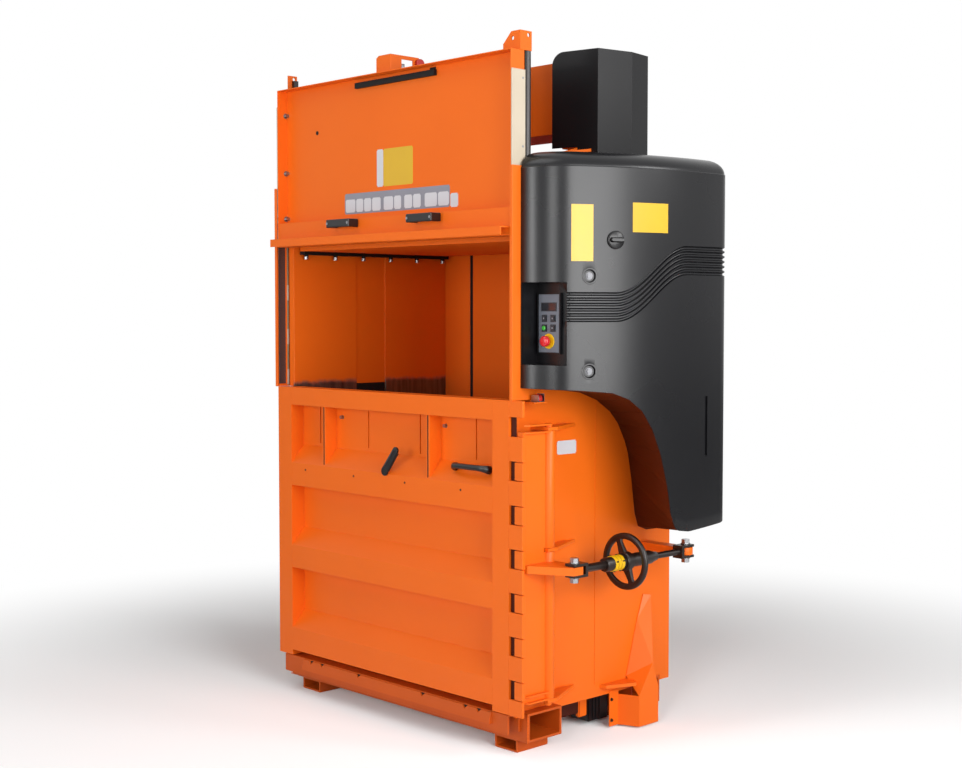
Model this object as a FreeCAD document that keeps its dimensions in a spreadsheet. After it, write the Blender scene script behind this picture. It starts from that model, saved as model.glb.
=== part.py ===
import FreeCAD, Part
import math
import os
import re

import Sketcher
from FreeCAD import Placement, Rotation, Vector

# A vertical recycling baler: a welded chamber with a loading gate that slides in front
# of its upper opening and a bale door hinged on its left. A platen comes down inside,
# pushed by a two-stage cylinder that hangs from the cross beam. The right side carries
# the door lock with its turnbuckle, and the black cover with the power unit and controls.
#
# The machine is drawn with x = 0 on the chamber's centre plane, y = 0 on the front plane
# of door and gate and z = 0 on the floor. Every piece is shifted by the same amount, so
# that the origin is the middle of the machine's footprint.

doc = FreeCAD.newDocument("recycling_baler")
dims = doc.addObject("Spreadsheet::Sheet", "dims")

driving = {
    # chamber
    "inner_half": 608, "wall_plate": 12, "base_out": 40, "mouth_y": 49, "inner_depth": 800,
    "back_plate": 8, "floor_low": 147, "floor_plate": 10, "sill_z": 1200,
    "wall_low": 128, "wall_high": 2055, "wall_front_high": 1972, "wall_peak": 300,
    "flange_wide": 30, "flange_deep": 8,
    "track_front": 312, "track_wide": 154, "track_deep": 8,
    "back_rib": 50, "back_rib_wide": 80, "back_rib_pitch": 300,
    # base
    "tube_wide": 165, "tube_high": 100, "tube_wall": 10, "tube_low": 47, "tube_front": 68,
    "rear_tube": 640, "foot_long": 150, "foot_wide": 110, "foot_plate": 8,
    "skirt_low": 80, "skirt_deep": 60, "skirt_plate": 8, "skirt_over": 15,
    "strip_low": 104, "strip_wide": 40, "strip_clear": 85, "strip_thick": 6, "strip_lean": 10,
    "notch_wide": 26, "notch_deep": 12,
    "guard_plate": 4, "guard_out": 80, "guard_y": 595, "guard_low": 8, "guard_high": 119,
    "guard_long": 105, "guard_flange": 48, "guard_turn": 31, "guard_seat": 136,
    "lean_foot": 16, "lean_low": 178, "lean_kink": 76, "lean_mid": 377, "lean_top": 463,
    "lean_top_y": 108, "lean_wide": 25, "lean_side": 20, "lean_heel": 73, "lean_rise": 228,
    "ledge_z": 156, "ledge_plate": 12, "ledge_y": 470, "ledge_long": 170, "ledge_out": 70,
    # gate
    "gate_over": 23, "gate_low": 1742, "gate_high": 2348, "tray_deep": 46, "sheet": 3,
    "band_high": 92, "side_deep": 62, "bar_out": 42, "bar_high": 29, "bar_inset": 6,
    "bar_plate": 4, "ear_wide": 77, "ear_high": 64, "ear_plate": 6, "ear_hole": 14, "ear_cut": 38,
    "ear_back": 52,
    "slide_strip": 6, "slide_low": 1760, "slide_high": 2284, "gate_travel": 540,
    "grip_long": 133, "grip_high": 30, "grip_out": 48, "grip_bar": 14, "grip_left": 212,
    "grip_right": 238, "grip_z": 1801, "seal_half": 218, "seal_high": 20, "seal_deep": 14,
    "seal_z": 2311, "bracket_left": 92, "bracket_right": 12, "bracket_high": 69,
    "bracket_deep": 154, "bracket_shelf": 110, "bracket_cut": 19, "bracket_sheet": 4,
    "bracket_window": 53, "fitting_out": 26, "fitting_high": 40, "cap_out": 36,
    "cap_high": 14,
    # posts, rails and gas springs
    "post_gap": 9, "post_plate": 5, "post_deep": 100, "post_high": 1970, "lip_wide": 13,
    "lip_gap": 3, "lip_plate": 4, "rail_plate": 2.5, "rail_front": 12, "rail_wide": 34,
    "spring_inset": 7, "spring_y": 80, "spring_tube": 28, "spring_rod": 10,
    "spring_low": 1766, "spring_high": 2346, "spring_head": 46, "spring_foot": 1204,
    "spring_lug": 18, "spring_cap": 5, "rod_top": 1797, "stud_out": 12, "rod_gap": 0.05,
    # cross beam and cylinder
    "beam_front": 353, "beam_deep": 192, "beam_low": 2110, "beam_high": 2356,
    "beam_plate": 10, "leg_wide": 80, "barrel_out": 160, "barrel_bore": 141,
    "barrel_low": 1860, "barrel_high": 2400, "barrel_cap": 20, "stage_bore": 101,
    "stage_long": 520, "stage_low": 1850, "ram_long": 518, "collar_out": 230,
    "collar_high": 20, "fit_gap": 0.1,
    # platen
    "platen_clear": 10, "platen_front": 72, "platen_back": 833, "platen_low": 1727,
    "platen_plate": 15, "platen_high": 75, "rib_plate": 10, "shoe_reach": 14, "shoe_gap": 3,
    "shoe_high": 60, "pad_half": 90, "strip_plate": 8, "strip_high": 13, "bolt_head": 16,
    "wiper_wide": 30, "bolt_first": 20, "bolt_pitch": 143.6, "bolt_high": 7,
    # bale door
    "door_gap": 3, "door_over_left": 40, "door_over_right": 27, "door_low": 152, "strip_left": 84,
    "strip_right": 78, "door_deep": 46, "panel_y": 58, "panel_plate": 8, "panel_clear": 8,
    "rail_high": 68, "beam_one": 819, "beam_pitch": 322, "beam_face": 88, "beam_slope": 66,
    "beam_last": 172, "rib_left": 372, "rib_right": 220, "rib_wide": 16, "rib_back": 5,
    "slit_wide": 6, "slit_low": 985, "slit_high": 1125, "slit_first": 454,
    "slit_pitch": 291, "tooth_out": 64, "tooth_plate": 10, "window_high": 65,
    "window_pitch": 145.8, "window_top": 1146,
    "hinge_out": 11, "hinge_y": 30, "knuckle_out": 20, "pin_out": 12, "hinge_top": 1000,
    "hinge_pitch": 335, "knuckle_long": 60, "knuckle_gap": 1, "leaf_plate": 8,
    "latch_x": 5, "latch_rise": 11, "latch_long": 122, "latch_wide": 24, "latch_plate": 8,
    "latch_boss": 24, "latch_out": 2, "latch_lean": 42,
    "bow_inset": 31, "bow_long": 198, "bow_rise": 46, "bow_high": 19, "bow_bar": 12,
    # lock and turnbuckle
    "lock_reach": 49, "lock_y": 138, "lock_front": 14, "lock_barrel": 42, "lock_pin": 24, "lock_plate": 8,
    "finger_gap": 3, "finger_root": 27,
    "lug_low": 183, "lug_mid": 692, "lug_top": 1097, "lug_plate": 12, "gusset_long": 180,
    "link_reach": 131, "link_z": 645, "near_y": 125, "far_y": 705, "link_bolt": 16,
    "open_gap": 3, "arm_plate": 26, "arm_round": 26, "fork_plate": 9, "link_gap": 1,
    "fork_wide": 44, "fork_root": 32, "rod_out": 28, "rear_rod_out": 22, "sleeve_out": 50,
    "hub_out": 60, "rear_sleeve_out": 43, "sleeve_front": 270, "sleeve_back": 540,
    "wheel_y": 380, "wheel_out": 195, "wheel_rim": 20, "hub_long": 30, "spoke_wide": 26, "spoke_thick": 10,
    "spoke_lean": 112,
    # side cover
    "cover_over": 49, "cover_front": 32, "cover_round": 190, "cover_turn": 62,
    "cover_sweep": 1180, "cover_side": 20, "cover_corner": 50, "cover_gap": 2,
    "cover_top": 1962, "cover_roof": 56, "cover_slope": 95, "cover_rear_roof": 45, "cover_wall": 8,
    "recess_edge": 5, "recess_back": 105, "recess_low": 1317, "recess_high": 1588,
    "recess_wide": 140, "recess_wall": 5, "groove_low": 1460, "groove_rise": 157,
    "groove_start": 251, "groove_run": 280, "groove_pitch": 17, "groove_wide": 9, "groove_deep": 4,
    "panel_inset": 13, "panel_wide": 94, "panel_low": 1358, "panel_tall": 191, "fascia": 6,
    "glass_wide": 64, "glass_high": 23, "glass_rise": 138,
    "stop_z": 1395, "stop_head": 36, "stop_collar": 50, "stop_out": 22,
    "stop_press": 5, "button_size": 16, "button_out": 5, "button_press": 3,
    "button_inset": 27, "button_z": 1438, "button_step": 39, "button_rise": 32, "stop_stem": 14,
    "stem_gap": 0.2, "collar_thick": 3, "glass_thick": 1.5, "knob_gap": 0.3,
    "switch_along": 222, "switch_y": 249, "switch_z": 1726, "switch_out": 60, "switch_high": 20,
    "screw_along": 184, "screw_y": 165, "screw_out": 54, "screw_top": 1608, "screw_low": 1297,
    "screw_deep": 6, "sheet_return": 3,
    "tab_drop": 10, "tab_long": 80, "tab_wide": 62, "tab_plate": 4, "tab_head": 26,
    "tab_rise": 14,
    # tower cover
    "tower_sheet": 3, "tower_inset": 87, "tower_front": 322, "tower_high": 2385, "tower_face": 179,
    "tower_slant": 38, "tower_wide": 207, "tower_bend": 183, "tower_back": 188,
    "tower_deep": 290, "tower_round": 45,
    # rating plate
    "plate_y": 246, "plate_z": 1003, "plate_wide": 96, "plate_high": 47, "plate_thick": 1.5,
}

# Sizes that follow from others, as formulas in the sheet.
derived = {
    "gate_half": "=inner_half + wall_plate + gate_over",
    "post_in": "=gate_half + post_gap",
    "spring_x": "=gate_half - spring_inset",
    "bar_half": "=gate_half - bar_inset",
    "skirt_left": "=inner_half + skirt_over",
    "strip_half": "=inner_half - strip_clear",
    "door_left": "=inner_half + door_over_left",
    "door_right": "=inner_half + door_over_right",
    "panel_half": "=inner_half - panel_clear",
    "hinge_x": "=door_left + hinge_out",
    "platen_half": "=inner_half - platen_clear",
    "lock_x": "=door_right + lock_reach",
    "link_x": "=lock_x + link_reach",
    "finger_in": "=door_right + finger_root",
    "finger_out": "=door_right + tooth_out",
    "bow_left": "=door_right - strip_right - bow_long - bow_inset",
    "cover_left": "=inner_half + cover_over",
    "recess_left": "=cover_left + recess_edge",
    "panel_left": "=recess_left + panel_inset",
    "stop_x": "=panel_left + panel_wide / 2",
    "button_x": "=panel_left + button_inset",
    "switch_x": "=cover_left + switch_along",
    "screw_x": "=cover_left + screw_along",
    "tower_left": "=inner_half - tower_inset",
    "base_half": "=inner_half + wall_plate + base_out",
    "latch_z": "=beam_one + beam_face + latch_rise",
    "bow_z": "=beam_one + beam_face + bow_rise",
}
for row, (alias, number) in enumerate((driving | derived).items(), start=1):
    dims.set(f"A{row}", alias)
    dims.set(f"B{row}", str(number))
    dims.setAlias(f"B{row}", alias)
doc.recompute()

# The footprint runs from the hinge barrels to the cover's side, and from the grips of the
# gate to the ribs behind the back wall.
cover_reach = "(cover_left - cover_sweep * cos(cover_turn * 1deg - 90deg)" \
    " + cover_round * cos(cover_turn * 1deg - 90deg) + cover_sweep)"
back_y = "(mouth_y + inner_depth)"
rear_reach = f"({back_y} + back_plate + back_rib)"
shift_x = f"(({cover_reach} - hinge_x - knuckle_out / 2) / 2)"
shift_y = f"(({rear_reach} - grip_out) / 2)"
wall_x = "(inner_half + wall_plate)"

counter = {}
nodes = []
solids_in = {}


def linked(words):
    """Turn the plain names in an expression into references to the sheet."""
    return re.sub(r"[a-z][a-z_]*[a-z]",
                  lambda found: "dims." + found.group(0) if found.group(0) in driving or found.group(0) in derived
                  else found.group(0), str(words))


def worth(words):
    return float(dims.evalExpression(linked(words)))


def name_for(kind):
    counter[kind] = counter.get(kind, 0) + 1
    return f"{kind}_{counter[kind]}"


def place(item, x, y, z):
    item.setExpression("Placement.Base.x", linked(f"({x}) - {shift_x}"))
    item.setExpression("Placement.Base.y", linked(f"({y}) - {shift_y}"))
    item.setExpression("Placement.Base.z", linked(z))


def box(x, y, z, long, deep, high):
    item = doc.addObject("Part::Box", name_for("block"))
    item.setExpression("Length", linked(long))
    item.setExpression("Width", linked(deep))
    item.setExpression("Height", linked(high))
    place(item, x, y, z)
    return item


turned = {"x": Rotation(Vector(0, 1, 0), 90), "y": Rotation(Vector(1, 0, 0), -90),
          "z": Rotation()}


def rod(axis, x, y, z, across, long):
    """A cylinder that starts at the point and runs along +axis."""
    item = doc.addObject("Part::Cylinder", name_for("round"))
    item.Placement = Placement(Vector(), turned[axis])
    item.setExpression("Radius", linked(f"({across}) / 2"))
    item.setExpression("Height", linked(long))
    place(item, x, y, z)
    return item


def torus(axis, x, y, z, across, thick):
    item = doc.addObject("Part::Torus", name_for("ring"))
    item.Placement = Placement(Vector(), turned[axis])
    item.setExpression("Radius1", linked(f"({across} - {thick}) / 2"))
    item.setExpression("Radius2", linked(f"({thick}) / 2"))
    place(item, x, y, z)
    return item


# A sketch's own axes: across the page, then up the page.
pages = {"xy": Rotation(), "xz": Rotation(Vector(1, 0, 0), 90),
         "yz": Rotation(Vector(1, 1, 1), 120)}
away = {"xy": Vector(0, 0, 1), "xz": Vector(0, 1, 0), "yz": Vector(1, 0, 0)}


def slab(page, at, thick, corners):
    """A sketched outline, pushed along the axis that the page faces."""
    sketch = doc.addObject("Sketcher::SketchObject", name_for("outline"))
    spots = [Vector(worth(a), worth(b), 0) for a, b in corners]
    count = len(spots)
    for k in range(count):
        sketch.addGeometry(Part.LineSegment(spots[k], spots[(k + 1) % count]), False)
    for k in range(count):
        sketch.addConstraint(Sketcher.Constraint("Coincident", k, 2, (k + 1) % count, 1))
    for k, (across, up) in enumerate(corners):
        for kind, words, number in (("DistanceX", across, spots[k].x),
                                    ("DistanceY", up, spots[k].y)):
            c = sketch.addConstraint(Sketcher.Constraint(kind, -1, 1, k, 1, number))
            sketch.setExpression(f"Constraints[{c}]", linked(words))
    sketch.Placement = Placement(Vector(), pages[page])
    where = {"xy": ("0", "0", at), "xz": ("0", at, "0"), "yz": (at, "0", "0")}[page]
    place(sketch, *where)
    item = doc.addObject("Part::Extrusion", name_for("slab"))
    item.Base = sketch
    item.DirMode = "Custom"
    item.Dir = away[page]
    item.Solid = True
    item.setExpression("LengthFwd", linked(thick))
    return item


def fuse(*items):
    item = doc.addObject("Part::MultiFuse", name_for("joined"))
    item.Shapes = list(items)
    item.Refine = True
    return item


def cut(base, *tools):
    item = doc.addObject("Part::Cut", name_for("carved"))
    item.Base = base
    item.Tool = tools[0] if len(tools) == 1 else fuse(*tools)
    item.Refine = True
    return item


def common(one, other):
    item = doc.addObject("Part::MultiCommon", name_for("shared"))
    item.Shapes = [one, other]
    return item


def solid(shape):
    """A shape made from the sheet's numbers, shifted like everything else."""
    item = doc.addObject("Part::Feature", name_for("formed"))
    item.Shape = shape
    item.Placement = Placement(Vector(-worth(shift_x), -worth(shift_y), 0), Rotation())
    return item


def together(*items):
    """Equal loose plates that make one row."""
    item = doc.addObject("Part::Compound", name_for("row"))
    item.Links = list(items)
    return item


def node(label, item, count=1):
    item.Label = label
    nodes.append(item)
    solids_in[label] = count
    return item


def sides():
    """The left side, then the right: a name and how a distance from x = 0 is signed."""
    return (("left", -1), ("right", 1))


def span(sign, near, far):
    """The low x of a block between two distances from the centre plane."""
    return f"({near})" if sign > 0 else f"(-({far}))"


# ---------------------------------------------------------------- chamber
for name, sign in sides():
    plate = slab("yz", span(sign, "inner_half", wall_x), "wall_plate",
                 [("mouth_y", "wall_low"), (back_y + " + back_plate", "wall_low"),
                  (back_y + " + back_plate", "wall_high"),
                  ("mouth_y + wall_peak", "wall_high"), ("mouth_y", "wall_front_high")])
    track = box(span(sign, "inner_half - 1", "inner_half + track_deep"),
                "mouth_y + track_front", "floor_low + floor_plate", "track_deep + 1",
                "track_wide", "wall_high - floor_low")
    tunnels = [box(span(sign, "inner_half - 5", wall_x + " + 5"), y, "tube_low",
                   "wall_plate + 10", "tube_wide", "tube_high")
               for y in ("tube_front", "rear_tube")]
    # the flange that the gate closes on, above the sill
    flange = box(span(sign, wall_x, "inner_half + flange_wide"), "mouth_y", "sill_z",
                 "flange_wide - wall_plate", "flange_deep", "wall_front_high - sill_z")
    node(f"chamber_{name}", fuse(cut(plate, track, *tunnels), flange))

ribs = [box(f"({k}) * back_rib_pitch - back_rib_wide / 2", back_y + " + back_plate",
            "floor_low", "back_rib_wide", "back_rib", "wall_high - floor_low - 60")
        for k in (-1, 0, 1)]
back = fuse(box("-inner_half", back_y, "wall_low", "inner_half * 2", "back_plate",
                "wall_high - wall_low"), *ribs)
slots = [box(f"({x})", back_y + " - 5", "slit_low - 700", "slit_wide * 3",
             "back_plate + back_rib + 10", "slit_high - slit_low + 1400")
         for x in ("-slit_first", "slit_pitch - slit_first",
                   "slit_pitch * 2 - slit_first", "slit_pitch * 3 - slit_first")]
node("chamber_back", cut(back, *slots))
floor_y = "(panel_y + panel_plate + door_gap)"
node("chamber_floor", box("-inner_half", floor_y, "floor_low", "inner_half * 2",
                          f"{back_y} - {floor_y}", "floor_plate"))

# ---------------------------------------------------------------- base
for name, y, half in (("front", "tube_front", "base_half"), ("rear", "rear_tube", wall_x)):
    tube = cut(box(f"-{half}", y, "tube_low", f"{half} * 2", "tube_wide", "tube_high"),
               box(f"-{half} - 1", f"{y} + tube_wall", "tube_low + tube_wall",
                   f"{half} * 2 + 2", "tube_wide - tube_wall * 2",
                   "tube_high - tube_wall * 2"))
    feet = []
    for side, sign in sides():
        foot = cut(box(span(sign, "base_half - 60 - foot_wide", "base_half - 60"),
                       f"{y} + (tube_wide - foot_long) / 2", "0", "foot_wide", "foot_long",
                       "tube_low"),
                   box(span(sign, "base_half - 60 - foot_wide + foot_plate",
                            "base_half - 60 - foot_plate"),
                       f"{y} + (tube_wide - foot_long) / 2 - 1", "foot_plate",
                       "foot_wide - foot_plate * 2", "foot_long + 2",
                       "tube_low - foot_plate * 2"))
        feet.append(foot)
    node(f"fork_tube_{name}", fuse(tube, *feet))
skirt = cut(box("-skirt_left", "tube_front - skirt_deep", "skirt_low", "skirt_left * 2",
                "skirt_deep", "floor_low - skirt_low"),
            box("-skirt_left - 1", "tube_front - skirt_deep + skirt_plate",
                "skirt_low - 1", "skirt_left * 2 + 2", "skirt_deep - skirt_plate * 2",
                "floor_low - skirt_low - skirt_plate + 1"),
            *[box(span(sign, "inner_half", "skirt_left + 1"), "mouth_y", "wall_low",
                  "skirt_left + 1 - inner_half", "tube_front - mouth_y + 1",
                  "floor_low - wall_low + 1") for name, sign in sides()])
lean = slab("yz", "-strip_half + 25", "strip_half * 2",
            [("tube_front - skirt_deep - strip_thick - strip_lean", "strip_low"),
             ("tube_front - skirt_deep", "strip_low"),
             ("tube_front - skirt_deep", "strip_low + strip_wide"),
             ("tube_front - skirt_deep - strip_thick", "strip_low + strip_wide")])
notches = [slab("xz", "tube_front - skirt_deep - strip_thick - strip_lean - 1",
                "strip_thick + strip_lean + 2",
                [(f"{x} - notch_wide / 2", "strip_low + strip_wide + 1"),
                 (f"{x}", "strip_low + strip_wide - notch_deep"),
                 (f"{x} + notch_wide / 2", "strip_low + strip_wide + 1")])
           for x in [f"({share}) * strip_half"
                     for share in (-0.8585, -0.7323, -0.3098, 0.3786, 0.8011, 0.9293)]]
node("front_skirt", fuse(skirt, cut(lean, *notches)))
# A folded guard at the rear corner of the side: a flange on the wall, a face that turns
# outwards, a side face, and two leaning faces above them. Each is a plate of its corners.
out_x = worth(wall_x)


def leaf(corners, through):
    """A thin plate over flat corners, as thick as the vector through it."""
    spots = [Vector(*corner) for corner in corners]
    return Part.Face(Part.makePolygon(spots + spots[:1])).extrude(Vector(*through))


guard = {alias: worth(alias) for alias in driving if alias.startswith(("guard_", "lean_",
                                                                       "ledge_"))}
thin = guard["guard_plate"]
side_x = out_x + guard["guard_out"]
near_y = guard["guard_y"]
foot = (out_x + thin, near_y + guard["lean_foot"], guard["lean_low"])
kink = (out_x + thin, near_y + guard["lean_kink"], guard["lean_mid"])
tip_back = (out_x + thin, near_y + guard["lean_top_y"], guard["lean_top"])
tip_front = (out_x + guard["lean_side"], near_y + guard["lean_top_y"] + guard["lean_wide"],
             guard["lean_top"] - thin)
heel = (side_x, near_y + guard["lean_heel"], guard["lean_rise"])
toe = (side_x, near_y, guard["guard_high"])
inwards = (-thin, 0, 0)
bend_y = near_y - guard["guard_turn"] + thin
plates = [leaf((foot, kink, heel), inwards), leaf((foot, heel, toe), inwards),
          leaf((kink, tip_back, tip_front), inwards), leaf((kink, tip_front, heel), inwards),
          leaf((toe, heel, (side_x, near_y + guard["guard_long"], guard["guard_high"] + 19),
                (side_x, near_y + guard["guard_long"], guard["guard_low"]),
                (side_x, near_y, guard["guard_low"])), inwards),
          leaf(((out_x, near_y - guard["guard_turn"], guard["guard_low"]),
                (side_x, near_y, guard["guard_low"]), (side_x, near_y, guard["guard_high"]),
                (out_x, near_y - guard["guard_turn"], guard["guard_high"])), (0, thin, 0)),
          leaf(((out_x + thin, bend_y, guard["guard_low"]),
                (out_x + thin, bend_y - guard["guard_flange"], guard["guard_low"]),
                (out_x + thin, bend_y - guard["guard_flange"], guard["guard_seat"]),
                (out_x + thin, bend_y, guard["guard_seat"])), inwards),
          leaf(((out_x, guard["ledge_y"], guard["ledge_z"]),
                (out_x + 25, guard["ledge_y"] + 8, guard["ledge_z"]),
                (out_x + guard["ledge_out"], near_y - 5, guard["ledge_z"]),
                (out_x, guard["ledge_y"] + guard["ledge_long"], guard["ledge_z"])),
               (0, 0, guard["ledge_plate"]))]
folded = plates[0]
for plate in plates[1:]:
    folded = folded.fuse(plate)
node("corner_guard", solid(folded.removeSplitter()))

# ---------------------------------------------------------------- guide posts and rails
for name, sign in sides():
    post = fuse(box(span(sign, "post_in", "post_in + post_plate"), "-lip_gap - lip_plate",
                    "sill_z", "post_plate", "post_deep + lip_gap + lip_plate",
                    "post_high - sill_z"),
                box(span(sign, "post_in + post_plate - lip_wide", "post_in + post_plate"),
                    "-lip_gap - lip_plate", "sill_z", "lip_wide", "lip_plate",
                    "post_high - sill_z"),
                box(span(sign, wall_x, "post_in"), "post_deep - post_plate", "sill_z",
                    f"post_in - {wall_x}", "post_plate", "post_high - sill_z"))
    rail = box(span(sign, "post_in - rail_plate", "post_in"), "rail_front", "sill_z + 10",
               "rail_plate", "rail_wide", "post_high - sill_z - 10")
    node(f"guide_post_{name}", fuse(post, rail))
    foot = box(span(sign, wall_x, "spring_x + 9"), "spring_y - 10", "spring_foot",
               f"spring_x + 9 - {wall_x}", "20", "spring_lug")
    x = f"spring_x * {sign}"
    stick = rod("z", x, "spring_y", "spring_foot + spring_lug", "spring_rod",
                "rod_top - spring_foot - spring_lug")
    node(f"spring_rod_{name}", fuse(foot, stick))
    tube = cut(rod("z", x, "spring_y", "spring_low", "spring_tube",
                   "spring_high - spring_low"),
               rod("z", x, "spring_y", "spring_low - 1", "spring_rod + rod_gap * 2",
                   "spring_high - spring_low - spring_cap + 1"))
    head = box(span(sign, "spring_x - 10", "gate_half - sheet"), "spring_y - 10",
               "spring_high", "gate_half - sheet - spring_x + 10", "20", "spring_head")
    node(f"spring_tube_{name}", fuse(tube, head))

# ---------------------------------------------------------------- cross beam, cylinder
centre_y = "(beam_front + beam_deep / 2)"
beam = cut(box(f"-{wall_x}", "beam_front", "beam_low", f"{wall_x} * 2", "beam_deep",
               "beam_high - beam_low"),
           box(f"-{wall_x} - 1", "beam_front + beam_plate", "beam_low + beam_plate",
               f"{wall_x} * 2 + 2", "beam_deep - beam_plate * 2",
               "beam_high - beam_low - beam_plate * 2"))
legs = [box(span(sign, f"{wall_x} - leg_wide", wall_x), "beam_front", "wall_high",
            "leg_wide", "beam_deep", "beam_low - wall_high") for name, sign in sides()]
node("cross_beam", cut(fuse(beam, *legs),
                       rod("z", "0", centre_y, "beam_low - 5", "barrel_out",
                           "beam_high - beam_low + 10")))
barrel = fuse(rod("z", "0", centre_y, "barrel_low", "barrel_out",
                  "barrel_high - barrel_low"),
              rod("z", "0", centre_y, "beam_low - collar_high", "collar_out",
                  "collar_high"))
node("cylinder_barrel", cut(barrel, rod("z", "0", centre_y, "barrel_low - 1", "barrel_bore",
                                        "barrel_high - barrel_low - barrel_cap + 1")))
node("cylinder_stage",
     cut(rod("z", "0", centre_y, "stage_low", "barrel_bore - fit_gap", "stage_long"),
         rod("z", "0", centre_y, "stage_low - 1", "stage_bore", "stage_long + 2")))
platen_top = "(platen_low + platen_high)"
ram = rod("z", "0", centre_y, platen_top, "stage_bore - fit_gap", "ram_long")

# ---------------------------------------------------------------- platen
pieces = [box("-platen_half", "platen_front", "platen_low", "platen_half * 2",
              "platen_back - platen_front", "platen_plate")]
for k in range(4):
    x = f"-platen_half + ({k}) * (platen_half * 2 - rib_plate) / 3"
    pieces.append(box(x, "platen_front", "platen_low", "rib_plate",
                      "platen_back - platen_front", "platen_high"))
for y in ("platen_front", f"{centre_y} - rib_plate / 2", "platen_back - rib_plate"):
    pieces.append(box("-platen_half", y, "platen_low", "platen_half * 2", "rib_plate",
                      "platen_high"))
pieces.append(box("-pad_half", f"{centre_y} - pad_half", f"{platen_top} - rib_plate * 2",
                  "pad_half * 2", "pad_half * 2", "rib_plate * 2"))
for name, sign in sides():
    pieces.append(box(span(sign, "platen_half", "platen_half + shoe_reach"),
                      "mouth_y + track_front + shoe_gap", "platen_low", "shoe_reach",
                      "track_wide - shoe_gap * 2", "shoe_high"))
node("platen", fuse(ram, *pieces))
for name, sign in sides():
    strip = box(span(sign, "platen_half - wiper_wide", "platen_half"), "platen_front",
                "platen_low - strip_high", "wiper_wide", "platen_back - platen_front", "strip_high")
    heads = [rod("z", f"(platen_half - wiper_wide / 2) * {sign}",
                 f"platen_front + bolt_first + bolt_pitch * ({k})",
                 "platen_low - strip_high - bolt_high", "bolt_head", "bolt_high")
             for k in range(6)]
    node(f"wiper_strip_{name}", fuse(strip, *heads))

# ---------------------------------------------------------------- gate
tray_in = "(gate_half - sheet)"
band_top = "(gate_low + band_high)"
body = [box("-gate_half", "tray_deep - sheet", "gate_low", "gate_half * 2", "sheet",
            "gate_high - gate_low")]
for name, sign in sides():
    body.append(box(span(sign, tray_in, "gate_half"), "0", "gate_low", "sheet", "side_deep",
                    "gate_high - gate_low"))
body.append(box(f"-{tray_in}", "0", "gate_low", f"{tray_in} * 2", "sheet", "band_high"))
body.append(box(f"-{tray_in}", "0", f"{band_top} - sheet", f"{tray_in} * 2", "tray_deep",
                "sheet"))
body.append(box(f"-{tray_in}", "0", "gate_low", f"{tray_in} * 2", "tray_deep", "sheet"))
body.append(box(f"-{tray_in}", "0", "gate_high - sheet", f"{tray_in} * 2", "tray_deep",
                "sheet"))
bar = cut(box("-bar_half", "-bar_out", "gate_low", "bar_half * 2", "bar_out",
              "bar_high"),
          box("-bar_half - 1", "bar_plate - bar_out", "gate_low - 1",
              "bar_half * 2 + 2", "bar_out - bar_plate + 1", "bar_high - bar_plate + 1"))


def bow(x, z, long, high, out, bar, base_y):
    """A bow handle: two legs and a bar, standing off a face."""
    legs = [box(place_x, f"{base_y} - {out}", z, bar, out, high)
            for place_x in (x, f"{x} + {long} - {bar}")]
    return fuse(box(x, f"{base_y} - {out}", z, long, bar, high), *legs)


node("gate_grip_left", bow("-grip_left - grip_long / 2", "grip_z", "grip_long", "grip_high",
                           "grip_out", "grip_bar", "0"))
node("gate_grip_right", bow("grip_right - grip_long / 2", "grip_z", "grip_long",
                            "grip_high", "grip_out", "grip_bar", "0"))
node("gate_seal", box("-seal_half + 17", "tray_deep - sheet - seal_deep", "seal_z",
                      "seal_half * 2", "seal_deep", "seal_high"))
for name, sign in sides():
    node(f"slide_strip_{name}",
         box(span(sign, "gate_half", "gate_half + slide_strip"), "0", "slide_low",
             "slide_strip", "side_deep", "slide_high - slide_low"))
    side = box(span(sign, f"{tray_in}", f"{tray_in} + ear_plate"), "ear_back",
               "gate_high", "ear_plate", "spring_y + 14 - ear_back", "ear_high")
    body.append(cut(side, rod("x", span(sign, f"{tray_in} - 1", f"{tray_in} + ear_plate + 1"),
                              "spring_y", "gate_high + ear_high * 0.8", "ear_hole",
                              "ear_plate + 2")))
# the right ear also has a front face, with its corner cut
ear = fuse(slab("xz", "tray_deep - ear_plate", "ear_plate",
                [("gate_half - ear_wide", "gate_high"),
                 ("gate_half - ear_wide", "gate_high + ear_high - ear_cut"),
                 ("gate_half - ear_wide + ear_cut", "gate_high + ear_high"),
                 ("gate_half", "gate_high + ear_high"), ("gate_half", "gate_high")]),
           box(tray_in, "tray_deep - ear_plate", "gate_high", "ear_plate",
               "ear_back - tray_deep + ear_plate + 1", "ear_high"))
body.append(cut(ear, rod("y", "gate_half - ear_wide * 0.43", "tray_deep - ear_plate - 1",
                         "gate_high + ear_high * 0.64", "ear_hole", "ear_plate + 2")))
node("gate_panel", fuse(bar, *body))
# an angle bracket on the gate's top: a front leg, a side leg with a window, and a shelf
base_y = "(tray_deep - bracket_sheet)"
top_z = "(gate_high + bracket_high)"
front_leg = slab("xz", base_y, "bracket_sheet",
                 [("-bracket_left", "gate_high"), ("-bracket_left", f"{top_z} - 8"),
                  ("-bracket_left + 14", top_z), ("-bracket_right", top_z),
                  ("-bracket_right", "gate_high")])
side_leg = cut(slab("yz", "-bracket_right - bracket_sheet", "bracket_sheet",
                    [(base_y, "gate_high"), (base_y, top_z),
                     (f"{base_y} + bracket_deep - bracket_cut", top_z),
                     (f"{base_y} + bracket_deep", f"{top_z} - bracket_cut"),
                     (f"{base_y} + bracket_deep", "gate_high")]),
               box("-bracket_right - bracket_sheet - 1", f"{base_y} + bracket_window",
                   "gate_high + bracket_sheet * 2", "bracket_sheet + 2", "bracket_window",
                   "bracket_high * 0.68"))
shelf = box("-bracket_left", base_y, "gate_high", "bracket_left - bracket_right",
            "bracket_shelf", "bracket_sheet")
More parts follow.
